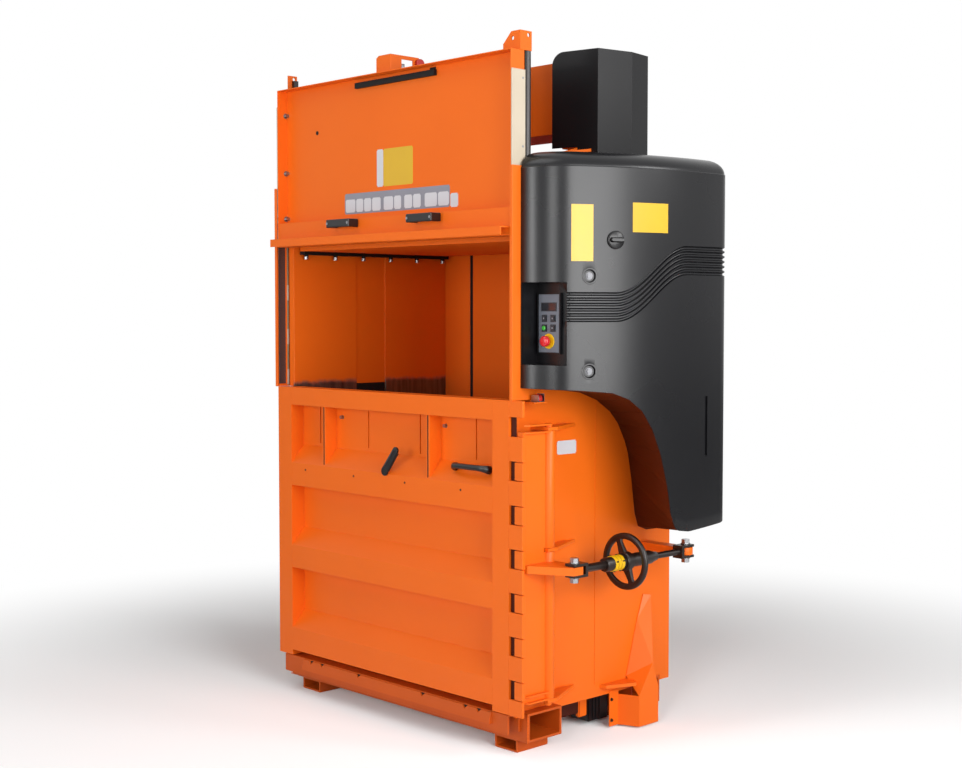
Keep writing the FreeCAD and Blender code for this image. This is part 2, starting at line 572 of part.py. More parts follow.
node("hose_bracket", fuse(front_leg, side_leg, shelf))
node("hose_fitting", rod("z", "-bracket_right - 34", f"{base_y} + bracket_window * 1.5",
                         "gate_high + bracket_sheet", "fitting_out", "fitting_high"))
node("hose_cap", rod("x", "-bracket_right", f"{base_y} + bracket_deep - cap_out * 0.55",
                     "gate_high + bracket_high * 0.66", "cap_out", "cap_high"))

# ---------------------------------------------------------------- bale door
door_high = "(sill_z - door_low)"
parts = [box("-door_left", "0", "door_low", "strip_left", "door_deep", door_high),
         box("door_right - strip_right", "0", "door_low", "strip_right", "door_deep",
             door_high),
         box("-door_left", "0", "sill_z - rail_high", "door_left + door_right",
             "door_deep", "rail_high"),
         box("-panel_half", "door_deep", "door_low", "strip_left + panel_half - door_left",
             "panel_y - door_deep", door_high),
         box("door_right - strip_right", "door_deep", "door_low",
             "panel_half - door_right + strip_right", "panel_y - door_deep", door_high),
         box("-panel_half", "panel_y", "door_low", "panel_half * 2", "panel_plate",
             door_high)]
for low in ("beam_one", "beam_one - beam_pitch", "beam_last"):
    parts.append(slab("yz", "strip_left - door_left",
                      "door_left + door_right - strip_left - strip_right",
                      [("0", low), ("panel_y", low),
                       ("panel_y", f"{low} + beam_face + beam_slope"),
                       ("0", f"{low} + beam_face")]))
for x in ("-rib_left", "rib_right"):
    parts.append(box(x, "rib_back", "beam_one + beam_face / 2", "rib_wide",
                     "panel_y - rib_back", "sill_z - rail_high - beam_one - beam_face / 2"))
for k in range(3):
    z = f"hinge_top - hinge_pitch * ({k}) + knuckle_long + knuckle_gap"
    parts.append(rod("z", "-hinge_x", "hinge_y", z, "knuckle_out", "knuckle_long"))
    parts.append(box("-hinge_x", "hinge_y - leaf_plate / 2", z, "hinge_x - door_left",
                     "leaf_plate", "knuckle_long"))
parts.append(rod("y", "latch_x", "-latch_out", "latch_z", "latch_boss",
                 "panel_y + latch_out"))
slits = [box(f"({k}) * slit_pitch - slit_first - slit_wide / 2", "panel_y - 5", "slit_low",
             "slit_wide", "panel_plate + 10", "slit_high - slit_low") for k in range(4)]
bores = [rod("z", "-hinge_x", "hinge_y", "door_low", "pin_out + rod_gap * 2", door_high)]
node("bale_door", cut(fuse(*parts), *slits, *bores))
# the flat teeth along the door's lock side, with the lock's fingers between them
teeth = []
for k in range(8):
    top = f"window_top - window_high - window_pitch * ({k - 1})"
    high = "window_pitch - window_high"
    if k == 0:
        top, high = "sill_z", "sill_z - window_top"
    elif k == 7:
        high = f"{top} - door_low"
    teeth.append(box("door_right", "0", f"{top} - ({high})", "tooth_out", "tooth_plate",
                     high))
node("door_teeth", together(*teeth), 8)
for k in range(3):
    z = f"hinge_top - hinge_pitch * ({k})"
    knuckle = fuse(rod("z", "-hinge_x", "hinge_y", z, "knuckle_out", "knuckle_long"),
                   box("-hinge_x - leaf_plate / 2", "hinge_y", z, "leaf_plate",
                       "mouth_y + 12 - hinge_y", "knuckle_long"),
                   box("-hinge_x - leaf_plate / 2", "mouth_y + 4", z,
                       f"hinge_x + leaf_plate / 2 - {wall_x}", "8", "knuckle_long"))
    node(f"hinge_leaf_{k + 1}",
         fuse(knuckle, rod("z", "-hinge_x", "hinge_y", z, "pin_out",
                           "knuckle_long * 2 + knuckle_gap + 5")))
slope_y = "(panel_y * (bow_z - beam_one - beam_face) / beam_slope)"
node("door_bow", bow("bow_left", "bow_z", "bow_long", "bow_high", slope_y, "bow_bar",
                     slope_y))
bar_points = [(f"latch_x + ({a}) * latch_long * cos(latch_lean * 1deg)"
               f" - ({b}) * latch_wide / 2 * sin(latch_lean * 1deg)",
               f"latch_z + ({a}) * latch_long * sin(latch_lean * 1deg)"
               f" + ({b}) * latch_wide / 2 * cos(latch_lean * 1deg)")
              for a, b in ((0, -1), (1, -0.6), (1, 0.6), (0, 1))]
node("latch_lever", fuse(rod("y", "latch_x", "-latch_out - latch_plate", "latch_z",
                             "latch_boss + 10", "latch_plate"),
                         slab("xz", "-latch_out - latch_plate", "latch_plate",
                              bar_points)))

# ---------------------------------------------------------------- door lock
lugs = []
for z in ("lug_top", "lug_mid", "lug_low"):
    lug = slab("xy", z, "lug_plate",
               [(wall_x, "lock_y - lock_barrel / 2"),
                ("lock_x + lock_barrel / 2", "lock_y - lock_barrel / 2"),
                ("lock_x + lock_barrel / 2", "lock_y + lock_barrel / 2"),
                (wall_x, "lock_y + lock_barrel / 2 + gusset_long")])
    lugs.append(lug)
node("lock_hinge", fuse(rod("z", "lock_x", "lock_y", "lug_low - 12", "lock_pin",
                            "lug_top - lug_low + lug_plate + 24"), *lugs))
face = "(lock_x - lock_plate / 2)"
low_z = "(lug_low + lug_plate + link_gap)"
mid_z = "(lug_mid + lug_plate + link_gap)"
fingers = []
locked = [box(face, "lock_front", low_z, "lock_plate",
              "lock_y - lock_barrel / 2 - link_gap * 4 - lock_front",
              f"lug_top - link_gap - {low_z}"),
          box("finger_in", "lock_front", low_z, f"{face} + lock_plate - finger_in",
              "lock_plate", f"lug_top - link_gap - {low_z}"),
          slab("xy", "link_z - arm_plate / 2", "arm_plate",
               [("lock_x", "lock_front + 4"), ("lock_x + 20", "lock_front + 4"),
                ("link_x + arm_round", "near_y - arm_round - 3"),
                ("link_x + arm_round", "near_y + 14"),
                ("link_x + arm_round - 12", "near_y + arm_round"),
                ("lock_x + lock_barrel", "lock_y + lock_barrel / 2"),
                ("lock_x", "lock_y + lock_barrel / 2")])]
for z, high in ((low_z, f"lug_mid - link_gap - {low_z}"),
                (mid_z, f"lug_top - link_gap - {mid_z}")):
    locked.append(rod("z", "lock_x", "lock_y", z, "lock_barrel", high))
    locked.append(box(face, "lock_front", z, "lock_plate", "lock_y - lock_front", high))
for k in range(1, 7):
    z = f"window_top - window_high - window_pitch * ({k}) + finger_gap"
    fingers.append(box("finger_in", "0", z, "finger_out - finger_in", "lock_front",
                       "window_high - finger_gap * 2"))
node("lock_fingers", together(*fingers), 6)
node("lock_plate", cut(fuse(*locked),
                       rod("z", "lock_x", "lock_y", "lug_low", "lock_pin + rod_gap * 2",
                           "lug_top - lug_low"),
                       rod("z", "link_x", "near_y", "link_z - arm_plate",
                           "link_bolt + open_gap * 2", "arm_plate * 2")))

# ---------------------------------------------------------------- turnbuckle
fork_gap = "(arm_plate / 2 + link_gap)"
fork_high = f"({fork_gap} * 2 + fork_plate * 2)"
fork_low = f"(link_z - {fork_gap} - fork_plate)"


def fork(end_y, side, reach, across):
    """A fork with its bolt, and the round rod that leads away from it."""
    if side > 0:
        spots = (f"{end_y} - fork_wide / 2", f"{end_y} + fork_root",
                 f"{end_y} + fork_root + 12")
    else:
        spots = (f"{end_y} - fork_root - 12", f"{end_y} - fork_root - 12",
                 f"{end_y} - fork_root - 12 - ({reach})")
    made = [box("link_x - fork_wide / 2", spots[0], z, "fork_wide",
                "fork_wide / 2 + fork_root + 12", "fork_plate")
            for z in (f"link_z + {fork_gap}", fork_low)]
    made.append(box("link_x - fork_wide / 2", spots[1], fork_low, "fork_wide", "12",
                    fork_high))
    made.append(rod("y", "link_x", spots[2], "link_z", across, reach))
    made.append(rod("z", "link_x", end_y, f"{fork_low} - 12", "link_bolt",
                    f"{fork_high} + 12"))
    made.append(rod("z", "link_x", end_y, f"{fork_low} + {fork_high}", "link_bolt + 10",
                    "10"))
    return fuse(*made)


node("front_rod", fork("near_y", 1, "wheel_y - 30 - near_y - fork_root - 12", "rod_out"))
node("rear_rod", fork("far_y", -1, "far_y - fork_root - 12 - sleeve_back + 78",
                      "rear_rod_out"))
tongue = [box(wall_x, "far_y - arm_round", "link_z - arm_plate / 2",
              f"link_x - {wall_x}", "arm_round * 2", "arm_plate"),
          rod("z", "link_x", "far_y", "link_z - arm_plate / 2", "arm_round * 2",
              "arm_plate")]
node("turnbuckle_anchor", cut(fuse(*tongue),
                              rod("z", "link_x", "far_y", "link_z - arm_plate",
                                  "link_bolt + rod_gap * 2", "arm_plate * 2")))
sleeve = cut(fuse(rod("y", "link_x", "wheel_y + hub_long / 2", "link_z", "rear_sleeve_out",
                      "sleeve_back - wheel_y - hub_long / 2"),
                  rod("y", "link_x", "wheel_y - hub_long / 2", "link_z", "hub_out",
                      "hub_long")),
             rod("y", "link_x", "sleeve_back - 80", "link_z", "rear_rod_out + rod_gap * 2",
                 "81"),
             rod("y", "link_x", "wheel_y - hub_long / 2 - 1", "link_z",
                 "rod_out + rod_gap * 2", "hub_long + 11"))
node("sleeve_rear", sleeve)
node("sleeve_front", cut(rod("y", "link_x", "sleeve_front", "link_z", "sleeve_out",
                             "wheel_y - hub_long / 2 - sleeve_front"),
                         rod("y", "link_x", "sleeve_front - 1", "link_z",
                             "rod_out + rod_gap * 2",
                             "wheel_y - hub_long / 2 - sleeve_front + 2")))
along = "(wheel_out / 2 - wheel_rim / 2)"
bar_points = [(f"link_x + ({a}) * {along} * cos(spoke_lean * 1deg)"
               f" + ({b}) * spoke_wide / 2 * sin(spoke_lean * 1deg)",
               f"link_z + ({a}) * {along} * sin(spoke_lean * 1deg)"
               f" - ({b}) * spoke_wide / 2 * cos(spoke_lean * 1deg)")
              for a, b in ((1, 1), (1, -1), (-1, -1), (-1, 1))]
spokes = fuse(slab("xz", "wheel_y - spoke_thick / 2", "spoke_thick", bar_points),
              torus("y", "link_x", "wheel_y", "link_z", "wheel_out", "wheel_rim"))
node("handwheel", cut(spokes, rod("y", "link_x", "wheel_y - 40", "link_z", "hub_out",
                                  "80")))

# ---------------------------------------------------------------- side cover
# Seen from above the cover is a round nose, a long flat sweep, a short straight and a
# rounded rear corner. The same outline, moved inwards, makes its inner face and its roof.
size = {alias: worth(alias) for alias in (*driving, *derived)}
unit = size["cover_sweep"] / 1180
left = size["cover_left"]
inner_x = worth(wall_x) + size["cover_gap"]
nose = (left, size["cover_front"] + size["cover_round"])
turn = math.radians(size["cover_turn"] - 90)
drift = size["cover_sweep"] - size["cover_round"]
sweep = (nose[0] - drift * math.cos(turn), nose[1] - drift * math.sin(turn))
reach = sweep[0] + size["cover_sweep"]
side_end = sweep[1] + size["cover_side"]
notch_y = size["post_deep"] + 4


def arc(middle, radius, start, end, z):
    mid = (start + end) / 2
    return Part.Arc(*[Vector(middle[0] + radius * math.cos(a),
                             middle[1] + radius * math.sin(a), z)
                      for a in (start, mid, end)]).toShape()


def line(a, b, z):
    return Part.LineSegment(Vector(a[0], a[1], z), Vector(b[0], b[1], z)).toShape()


def plan(inset, corner, rear_inset, z, back_x=None, notch=None):
    """The outline at a height, moved inwards by the inset."""
    back_x = inner_x if back_x is None else back_x
    notch = notch_y if notch is None else notch
    front = size["cover_round"] - inset
    flat = size["cover_sweep"] - inset
    bend = (reach - inset - corner, side_end + size["cover_corner"] - rear_inset - corner)
    rear = bend[1] + corner
    tip = (nose[0], nose[1] - front)
    edges = [arc(nose, front, -math.pi / 2, turn, z), arc(sweep, flat, turn, 0.0, z),
             line((reach - inset, sweep[1]), (reach - inset, bend[1]), z),
             arc(bend, corner, 0.0, math.pi / 2, z),
             line((bend[0], rear), (back_x, rear), z),
             line((back_x, rear), (back_x, notch), z),
             line((back_x, notch), (left, notch), z),
             line((left, notch), tip, z)]
    return Part.Wire(edges)


def upright(wire, high):
    return Part.Face(wire).extrude(Vector(0, 0, high))


low = 640.0 * unit
top = size["cover_top"]
crest = top + size["cover_roof"]
wall = size["cover_wall"]
corner = size["cover_corner"]
outer = upright(plan(0, corner, 0, low), top - low)
roof_gap = size["cover_slope"]
roof_outer = Part.makeLoft([plan(0, corner, 0, top),
                            plan(roof_gap, 5, size["cover_rear_roof"], crest,
                                 notch=notch_y + roof_gap)], True, True)
outer = outer.fuse(roof_outer).removeSplitter()
inner = upright(plan(wall, corner - wall, wall, low - 1, inner_x - 1, notch_y + wall),
                top - low + 1)
cover = outer.cut(inner)

# The lower edge drops from the front corner and rounds down to the rear foot.
edge = [(32, 1240), (135, 1234), (241, 1224), (299, 1201), (348, 1161), (387, 1099),
        (421, 1014), (450, 901), (464, 815), (483, 763), (498, 751), (547, 744),
        (760, 763)]
edge = [(y * unit, z * unit) for y, z in edge]
seat = [(32, 1240), (200, 1232), (360, 1212), (445, 1183), (517, 1139), (560, 1095),
        (595, 1035), (616, 985), (636, 887), (645, 826), (654, 765), (673, 715),
        (720, 698)]
seat = [(y * unit, z * unit) for y, z in seat]
start_x, deep_y, floor_z = inner_x - 22 * unit, 900 * unit, 600 * unit
rim = [(0, floor_z), (0, edge[0][1])] + edge[1:] + [(deep_y, edge[-1][1] + 7 * unit),
                                                    (deep_y, floor_z)]
under = Part.makePolygon([Vector(start_x, *spot) for spot in rim + rim[:1]])
cover = cover.cut(Part.Face(under).extrude(Vector(500 * unit, 0, 0)))

# The recess for the controls, with a liner behind it.
recess_high = size["recess_high"] - size["recess_low"]
thick = size["recess_wall"]
hollow = Part.makeBox(size["recess_wide"], size["recess_back"] + 20, recess_high,
                      Vector(size["recess_left"], -20, size["recess_low"]))
liner = Part.makeBox(size["recess_wide"] + thick * 2, size["recess_back"] + thick,
                     recess_high + thick * 2,
                     Vector(size["recess_left"] - thick, 0, size["recess_low"] - thick))
cover = cover.fuse(liner.common(upright(plan(1, corner, 1, low), top - low)))
cover = cover.cut(hollow)

# Six grooves start at the recess and climb along the side in one long wave.
skin = upright(plan(-1, corner, -1, low), top - low).cut(
    upright(plan(size["groove_deep"], corner - size["groove_deep"], size["groove_deep"],
                 low - 1, inner_x - 1, notch_y + 1), top - low + 2))


def wave(y):
    share = min(max((y - size["groove_start"]) / size["groove_run"], 0.0), 1.0)
    return size["groove_rise"] * (1 - math.cos(math.pi * share)) / 2


path = [80 * unit] + [size["groove_start"] + size["groove_run"] * k / 8
                      for k in range(9)] + [706 * unit]
for k in range(6):
    z = size["groove_low"] + size["groove_pitch"] * k
    spots = [Vector(700 * unit, y, z + wave(y)) for y in path]
    spots += [Vector(700 * unit, y, z + size["groove_wide"] + wave(y))
              for y in reversed(path)]
    ribbon = Part.Face(Part.makePolygon(spots + [spots[0]]))
    ribbon = ribbon.extrude(Vector(300 * unit, 0, 0))
    cover = cover.cut(ribbon.common(skin))


def facing(x, y):
    """The outward direction of the sweep at a point on it."""
    return Vector(x - sweep[0], y - sweep[1], 0).normalize()


spot = Vector(size["screw_x"], size["screw_y"], 0)
out = facing(spot.x, spot.y)
ring = Vector(sweep[0], sweep[1], 0) + out * size["cover_sweep"]
for z in (size["screw_top"], size["screw_low"]):
    start = Vector(ring.x, ring.y, z) - out * size["screw_deep"]
    cover = cover.cut(Part.makeCylinder(size["screw_out"] / 2, 40, start, out))
cover = cover.removeSplitter()
pieces = sorted(cover.Solids, key=lambda piece: -piece.Volume)
node("side_cover", solid(pieces[0]))

# The painted sheet that closes the cover's open side, from the wall to its lower edge.
far_x = reach + 22 * unit
inner_plan = upright(plan(wall, corner - wall, wall, floor_z, inner_x - 1,
                          notch_y + wall), 1400 * unit)
rise = size["sheet_return"]


def ladder(points, x, lift):
    return [Vector(x, y, z + lift) for y, z in points]


beyond = []
for (y0, z0), (y1, z1) in zip(seat, edge):
    at = min(max(left + y1 - 32 * unit, 760.0 * unit), 950.0 * unit)
    grow = (far_x - inner_x) / (at - inner_x)
    beyond.append((y0 + (y1 - y0) * grow, z0 + (z1 - z0) * grow))
near_line = ladder(seat, inner_x, 0)
far_line = ladder(beyond, far_x, 0)
faces = []
count = len(seat)
for lift in (0.0, rise):
    shift = Vector(0, 0, lift)
    for k in range(count - 1):
        a, b = near_line[k] + shift, near_line[k + 1] + shift
        c, d = far_line[k + 1] + shift, far_line[k] + shift
        faces += [Part.Face(Part.makePolygon([a, b, c, a])),
                  Part.Face(Part.makePolygon([a, c, d, a]))]
for line_of in (near_line, far_line):
    for k in range(count - 1):
        a, b = line_of[k], line_of[k + 1]
        up = Vector(0, 0, rise)
        faces += [Part.Face(Part.makePolygon([a, b, b + up, a])),
                  Part.Face(Part.makePolygon([a, b + up, a + up, a]))]
for k in (0, count - 1):
    a, b = near_line[k], far_line[k]
    up = Vector(0, 0, rise)
    faces += [Part.Face(Part.makePolygon([a, b, b + up, a])),
              Part.Face(Part.makePolygon([a, b + up, a + up, a]))]
shell = Part.Shell(faces)
shell.sewShape()
closed = Part.Solid(shell)
if closed.Volume < 0:
    closed.reverse()
sheet = closed.common(inner_plan)
sheet = max(sheet.Solids, key=lambda piece: piece.Volume)
node("cover_return", solid(sheet))

# ---------------------------------------------------------------- controls
fascia_y = "(recess_back - fascia)"
buttons = []
sockets = [rod("y", "stop_x", f"{fascia_y} - 1", "stop_z", "stop_stem + stem_gap * 2",
               "fascia + 2")]
for k in range(4):
    across, up = k % 2, k // 2
    x = f"button_x + button_step * ({across}) - button_size / 2"
    z = f"button_z + button_rise * ({up}) - button_size / 2"
    buttons.append(box(x, f"{fascia_y} - button_out", z, "button_size",
                       "button_out + fascia - button_press - stem_gap", "button_size"))
    sockets.append(box(f"{x} - stem_gap", f"{fascia_y} - 1", f"{z} - stem_gap",
                       "button_size + stem_gap * 2", "fascia + 2",
                       "button_size + stem_gap * 2"))
node("control_panel", cut(box("panel_left", fascia_y, "panel_low", "panel_wide", "fascia",
                              "panel_tall"), *sockets))
node("display_glass", box("panel_left + (panel_wide - glass_wide) / 2",
                          f"{fascia_y} - glass_thick", "panel_low + glass_rise",
                          "glass_wide", "glass_thick", "glass_high"))
for k, button in enumerate(buttons):
    node(f"push_button_{k + 1}", button)
node("stop_collar", cut(rod("y", "stop_x", f"{fascia_y} - collar_thick", "stop_z",
                            "stop_collar", "collar_thick"),
                        rod("y", "stop_x", f"{fascia_y} - collar_thick - 1", "stop_z",
                            "stop_stem + stem_gap * 2", "collar_thick + 2")))
node("stop_head", fuse(rod("y", "stop_x",
                           f"{fascia_y} - collar_thick - stop_press - stop_out - stem_gap",
                           "stop_z", "stop_head", "stop_out"),
                       rod("y", "stop_x",
                           f"{fascia_y} - collar_thick - stop_press - stem_gap", "stop_z",
                           "stop_stem", "collar_thick + fascia")))
spot = Vector(size["switch_x"], size["switch_y"], 0)
out = facing(spot.x, spot.y)
ring = Vector(sweep[0], sweep[1], 0) + out * (size["cover_sweep"] + size["knob_gap"])
middle = Vector(ring.x, ring.y, size["switch_z"])
across = Vector(0, 0, 1).cross(out)
knob = Part.makeCylinder(size["switch_out"] / 2, size["switch_high"] - 12, middle, out)
bar = Part.makeBox(size["switch_out"] - 4, 14, 12)
bar.Placement = Placement(middle + out * (size["switch_high"] - 12)
                          - Vector(0, 0, size["switch_out"] / 2 - 2) - across * 7,
                          Rotation(Vector(0, 0, 1), across, out, "ZXY"))
node("mains_switch", solid(knob.fuse(bar).removeSplitter()))

# ---------------------------------------------------------------- tower over the beam end
plan_points = [("tower_left", "tower_front"),
               ("tower_left + tower_face", "tower_front + tower_slant"),
               ("tower_left + tower_wide", "tower_front + tower_bend"),
               ("tower_left + tower_back", "tower_front + tower_deep"),
               ("tower_left", "tower_front + tower_deep")]
hollow_points = [("tower_left - 1", "tower_front + tower_sheet"),
                 ("tower_left + tower_face - tower_sheet",
                  "tower_front + tower_slant + tower_sheet"),
                 ("tower_left + tower_wide - tower_sheet", "tower_front + tower_bend"),
                 ("tower_left + tower_back - tower_sheet",
                  "tower_front + tower_deep - tower_sheet"),
                 ("tower_left - 1", "tower_front + tower_deep - tower_sheet")]
base_z = "(cover_top + cover_roof)"
rounded = cut(box("tower_left - 1", "tower_front - 1", "tower_high - tower_round",
                  "tower_round + 1", "tower_deep + 2", "tower_round + 1"),
              rod("y", "tower_left + tower_round", "tower_front - 2",
                  "tower_high - tower_round", "tower_round * 2", "tower_deep + 4"))
node("beam_cowl", cut(slab("xy", base_z, f"tower_high - {base_z}", plan_points),
                      slab("xy", f"{base_z} - 1", f"tower_high - tower_sheet - {base_z} + 1",
                           hollow_points), rounded,
                      box("tower_left - 1", "tower_front - 1", f"{base_z} - 1",
                          f"{wall_x} - tower_left + 2", "tower_deep + 2",
                          f"wall_high - {base_z} + 2")))
node("switch_bracket", box(wall_x, "door_deep + 7", "sill_z - tab_drop", "tab_long",
                           "tab_wide", "tab_plate"))
node("safety_switch", rod("z", "lock_x", "door_deep + 40",
                          "sill_z - tab_drop + tab_plate", "tab_head", "tab_rise"))
node("rating_plate", box(wall_x, "plate_y", "plate_z", "plate_thick", "plate_wide",
                         "plate_high"))

# ---------------------------------------------------------------- check and write
doc.recompute()
faults = []
for item in doc.Objects:
    if "Invalid" in item.State or "Error" in item.State:
        faults.append(f"{item.Label}: {item.State}")
for item in nodes:
    shape = item.Shape
    if shape.isNull() or not shape.isValid() or len(shape.Solids) != solids_in[item.Label]:
        faults.append(f"{item.Label}: null, not valid or the wrong number of solids")
if faults:
    raise RuntimeError("; ".join(faults))
os.makedirs("parts", exist_ok=True)
for item in nodes:
    item.Shape.exportStep(f"parts/{item.Label}.step")
    box_of = item.Shape.BoundBox
    print(f"{item.Label:22s} x {box_of.XMin:8.1f} {box_of.XMax:8.1f}"
          f"  y {box_of.YMin:8.1f} {box_of.YMax:8.1f}  z {box_of.ZMin:8.1f} {box_of.ZMax:8.1f}")
print("nodes", len(nodes), "shift", worth(shift_x), worth(shift_y))
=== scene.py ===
import bpy
import bmesh
import math
from mathutils import Matrix, Vector


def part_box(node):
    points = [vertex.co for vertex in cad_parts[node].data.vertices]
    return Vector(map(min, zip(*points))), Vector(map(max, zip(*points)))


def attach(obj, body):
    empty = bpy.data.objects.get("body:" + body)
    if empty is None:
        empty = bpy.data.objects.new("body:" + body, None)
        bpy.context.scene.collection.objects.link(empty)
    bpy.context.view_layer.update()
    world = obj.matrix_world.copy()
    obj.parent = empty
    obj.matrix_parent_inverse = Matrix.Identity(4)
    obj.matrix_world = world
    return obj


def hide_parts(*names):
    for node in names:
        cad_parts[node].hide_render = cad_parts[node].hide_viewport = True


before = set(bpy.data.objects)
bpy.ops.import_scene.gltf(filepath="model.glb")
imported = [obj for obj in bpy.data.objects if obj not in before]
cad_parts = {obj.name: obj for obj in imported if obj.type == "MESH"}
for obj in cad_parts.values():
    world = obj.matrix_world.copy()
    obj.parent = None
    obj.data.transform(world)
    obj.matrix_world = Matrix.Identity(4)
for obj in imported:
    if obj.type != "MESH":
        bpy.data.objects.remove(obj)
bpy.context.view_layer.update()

# The machine is measured from the chamber's centre plane, the front plane and the floor.
origin = {"x": -146.941, "y": -429.5}
sides = (-1, 1)


# Machine millimetres to scene metres.
def place(x, y, z):
    return Vector(((x + origin["x"]) / 1000, (y + origin["y"]) / 1000, z / 1000))


def linearColour(hexCode):
    out = []
    for k in (0, 2, 4):
        c = int(hexCode.lstrip("#")[k:k + 2], 16) / 255
        out.append(c / 12.92 if c <= 0.04045 else ((c + 0.055) / 1.055) ** 2.4)
    return (*out, 1.0)


def addNode(tree, kind, settings=None, values=None, links=None):
    node = tree.nodes.new(kind)
    for name, value in (settings or {}).items():
        setattr(node, name, value)
    for socket, value in (values or {}).items():
        node.inputs[socket].default_value = value
    for socket, source in (links or {}).items():
        tree.links.new(source, node.inputs[socket])
    return node


# A new object in the scene, for a mesh, a lamp or the camera.
def newObject(name, data):
    made = bpy.data.objects.new(name, data)
    bpy.context.scene.collection.objects.link(made)
    return made


# The lamps stand as a small studio's would: one soft key from the right, fill from the front.
cameraLook = {"spot": (4052.4, -3391.3, 1491.6), "azimuth": 46.31, "pitch": 2.82,
              "lens": 54.86, "sensor": 36.0}
stageLook = {"floor": "#FAFAFA", "world": "#F2F2F2", "worldPower": 0.10, "reach": 30,
             "fade": (1.3, 3.6)}                  # metres from the machine, shadow to plain
lamps = {
    "keySide": {"spot": (5180, -720, 1950), "aim": (500, 200, 1400), "size": (3.4, 2.6),
                "power": 222},
    "fillFront": {"spot": (-900, -5450, 1800), "aim": (100, 50, 1350), "size": (1.1, 2.1),
                  "power": 84},
    "nearCamera": {"spot": (3300, -4800, 2000), "aim": (200, 0, 1250), "size": (1.5, 2.2),
                   "power": 68},
    "lowFront": {"spot": (1200, -5200, 1000), "aim": (0, 0, 950), "size": (2.4, 1.6),
                 "power": 10},
    "topSoft": {"spot": (100, -1900, 4900), "aim": (0, 200, 400), "size": (3.0, 2.4),
                "power": 42},
    "rearRim": {"spot": (4500, 1800, 3150), "aim": (600, 400, 2200), "size": (0.9, 0.9),
                "power": 40},
}


def makeCamera():
    data = bpy.data.cameras.new("camera")
    data.sensor_fit = "HORIZONTAL"
    data.sensor_width = cameraLook["sensor"]
    data.lens = cameraLook["lens"]
    data.clip_end = 60
    cam = newObject("camera", data)
    turn = math.radians(cameraLook["azimuth"])
    dip = math.radians(cameraLook["pitch"])
    ahead = Vector((-math.sin(turn) * math.cos(dip), math.cos(turn) * math.cos(dip),
                    -math.sin(dip)))
    cam.location = place(*cameraLook["spot"])
    cam.rotation_euler = ahead.to_track_quat("-Z", "Y").to_euler()
    bpy.context.scene.camera = cam


def makeLamps():
    for name, look in lamps.items():
        data = bpy.data.lights.new(name, "AREA")
        data.shape = "RECTANGLE"
        data.size, data.size_y = look["size"]
        data.energy = look["power"]
        lamp = newObject(name, data)
        spot = place(*look["spot"])
        lamp.location = spot
        aim = place(*look["aim"]) - spot
        lamp.rotation_euler = aim.to_track_quat("-Z", "Y").to_euler()


# Soft light from all round, plain white where the camera sees past the floor.
def makeWorld():
    world = bpy.data.worlds.new("studio")
    world.use_nodes = True
    bpy.context.scene.world = world
    tree = world.node_tree
    tree.nodes.clear()
    path = addNode(tree, "ShaderNodeLightPath")
    seen = addNode(tree, "ShaderNodeMath", {"operation": "MAXIMUM"},
                   links={0: path.outputs["Is Camera Ray"], 1: path.outputs["Is Glossy Ray"]})
    seenToo = addNode(tree, "ShaderNodeMath", {"operation": "MAXIMUM"},
                      links={0: seen.outputs[0], 1: path.outputs["Is Transmission Ray"]})
    soft = addNode(tree, "ShaderNodeBackground",
                   values={"Color": linearColour(stageLook["world"]),
                           "Strength": stageLook["worldPower"]})
    plain = addNode(tree, "ShaderNodeBackground",
                    values={"Color": (1, 1, 1, 1), "Strength": 1.0})
    mix = addNode(tree, "ShaderNodeMixShader",
                  links={0: seenToo.outputs[0], 1: soft.outputs[0], 2: plain.outputs[0]})
    addNode(tree, "ShaderNodeOutputWorld", links={0: mix.outputs[0]})


# A floor, matt and pale near the machine, where it keeps the shadow; plain white further off.
def makeFloor():
    reach = stageLook["reach"]
    mesh = bpy.data.meshes.new("floor")
    mesh.from_pydata([(-reach, -reach, 0), (reach, -reach, 0), (reach, reach, 0),
                      (-reach, reach, 0)], [], [(0, 1, 2, 3)])
    floor = newObject("floor", mesh)
    mat = bpy.data.materials.new("studioFloor")
    mat.use_nodes = True
    tree = mat.node_tree
    tree.nodes.clear()
    matt = addNode(tree, "ShaderNodeBsdfDiffuse",
                   values={"Color": linearColour(stageLook["floor"]), "Roughness": 0.6})
    glow = addNode(tree, "ShaderNodeEmission", values={"Strength": 1.0})
    spot = addNode(tree, "ShaderNodeTexCoord")
    away = addNode(tree, "ShaderNodeVectorMath", {"operation": "LENGTH"},
                   links={0: spot.outputs["Object"]})
    fade = addNode(tree, "ShaderNodeMapRange", {"interpolation_type": "SMOOTHSTEP"},
                   {"From Min": stageLook["fade"][0], "From Max": stageLook["fade"][1]},
                   {"Value": away.outputs["Value"]})
    path = addNode(tree, "ShaderNodeLightPath")
    share = addNode(tree, "ShaderNodeMath", {"operation": "MULTIPLY"},
                    links={0: fade.outputs[0], 1: path.outputs["Is Camera Ray"]})
    floorMix = addNode(tree, "ShaderNodeMixShader",
                       links={0: share.outputs[0], 1: matt.outputs[0], 2: glow.outputs[0]})
    addNode(tree, "ShaderNodeOutputMaterial", links={0: floorMix.outputs[0]})
    mesh.materials.append(mat)


makeCamera()
makeLamps()
makeWorld()
makeFloor()
print("camera, lamps and floor made")


# Every material starts the same way: one principled shader, read at the object's own place.
def startMaterial(name):
    mat = bpy.data.materials.new(name)
    mat.use_nodes = True
    tree = mat.node_tree
    tree.nodes.clear()
    shader = addNode(tree, "ShaderNodeBsdfPrincipled")
    addNode(tree, "ShaderNodeOutputMaterial", links={0: shader.outputs[0]})
    spot = addNode(tree, "ShaderNodeTexCoord")
    return mat, tree, shader, spot.outputs["Object"]


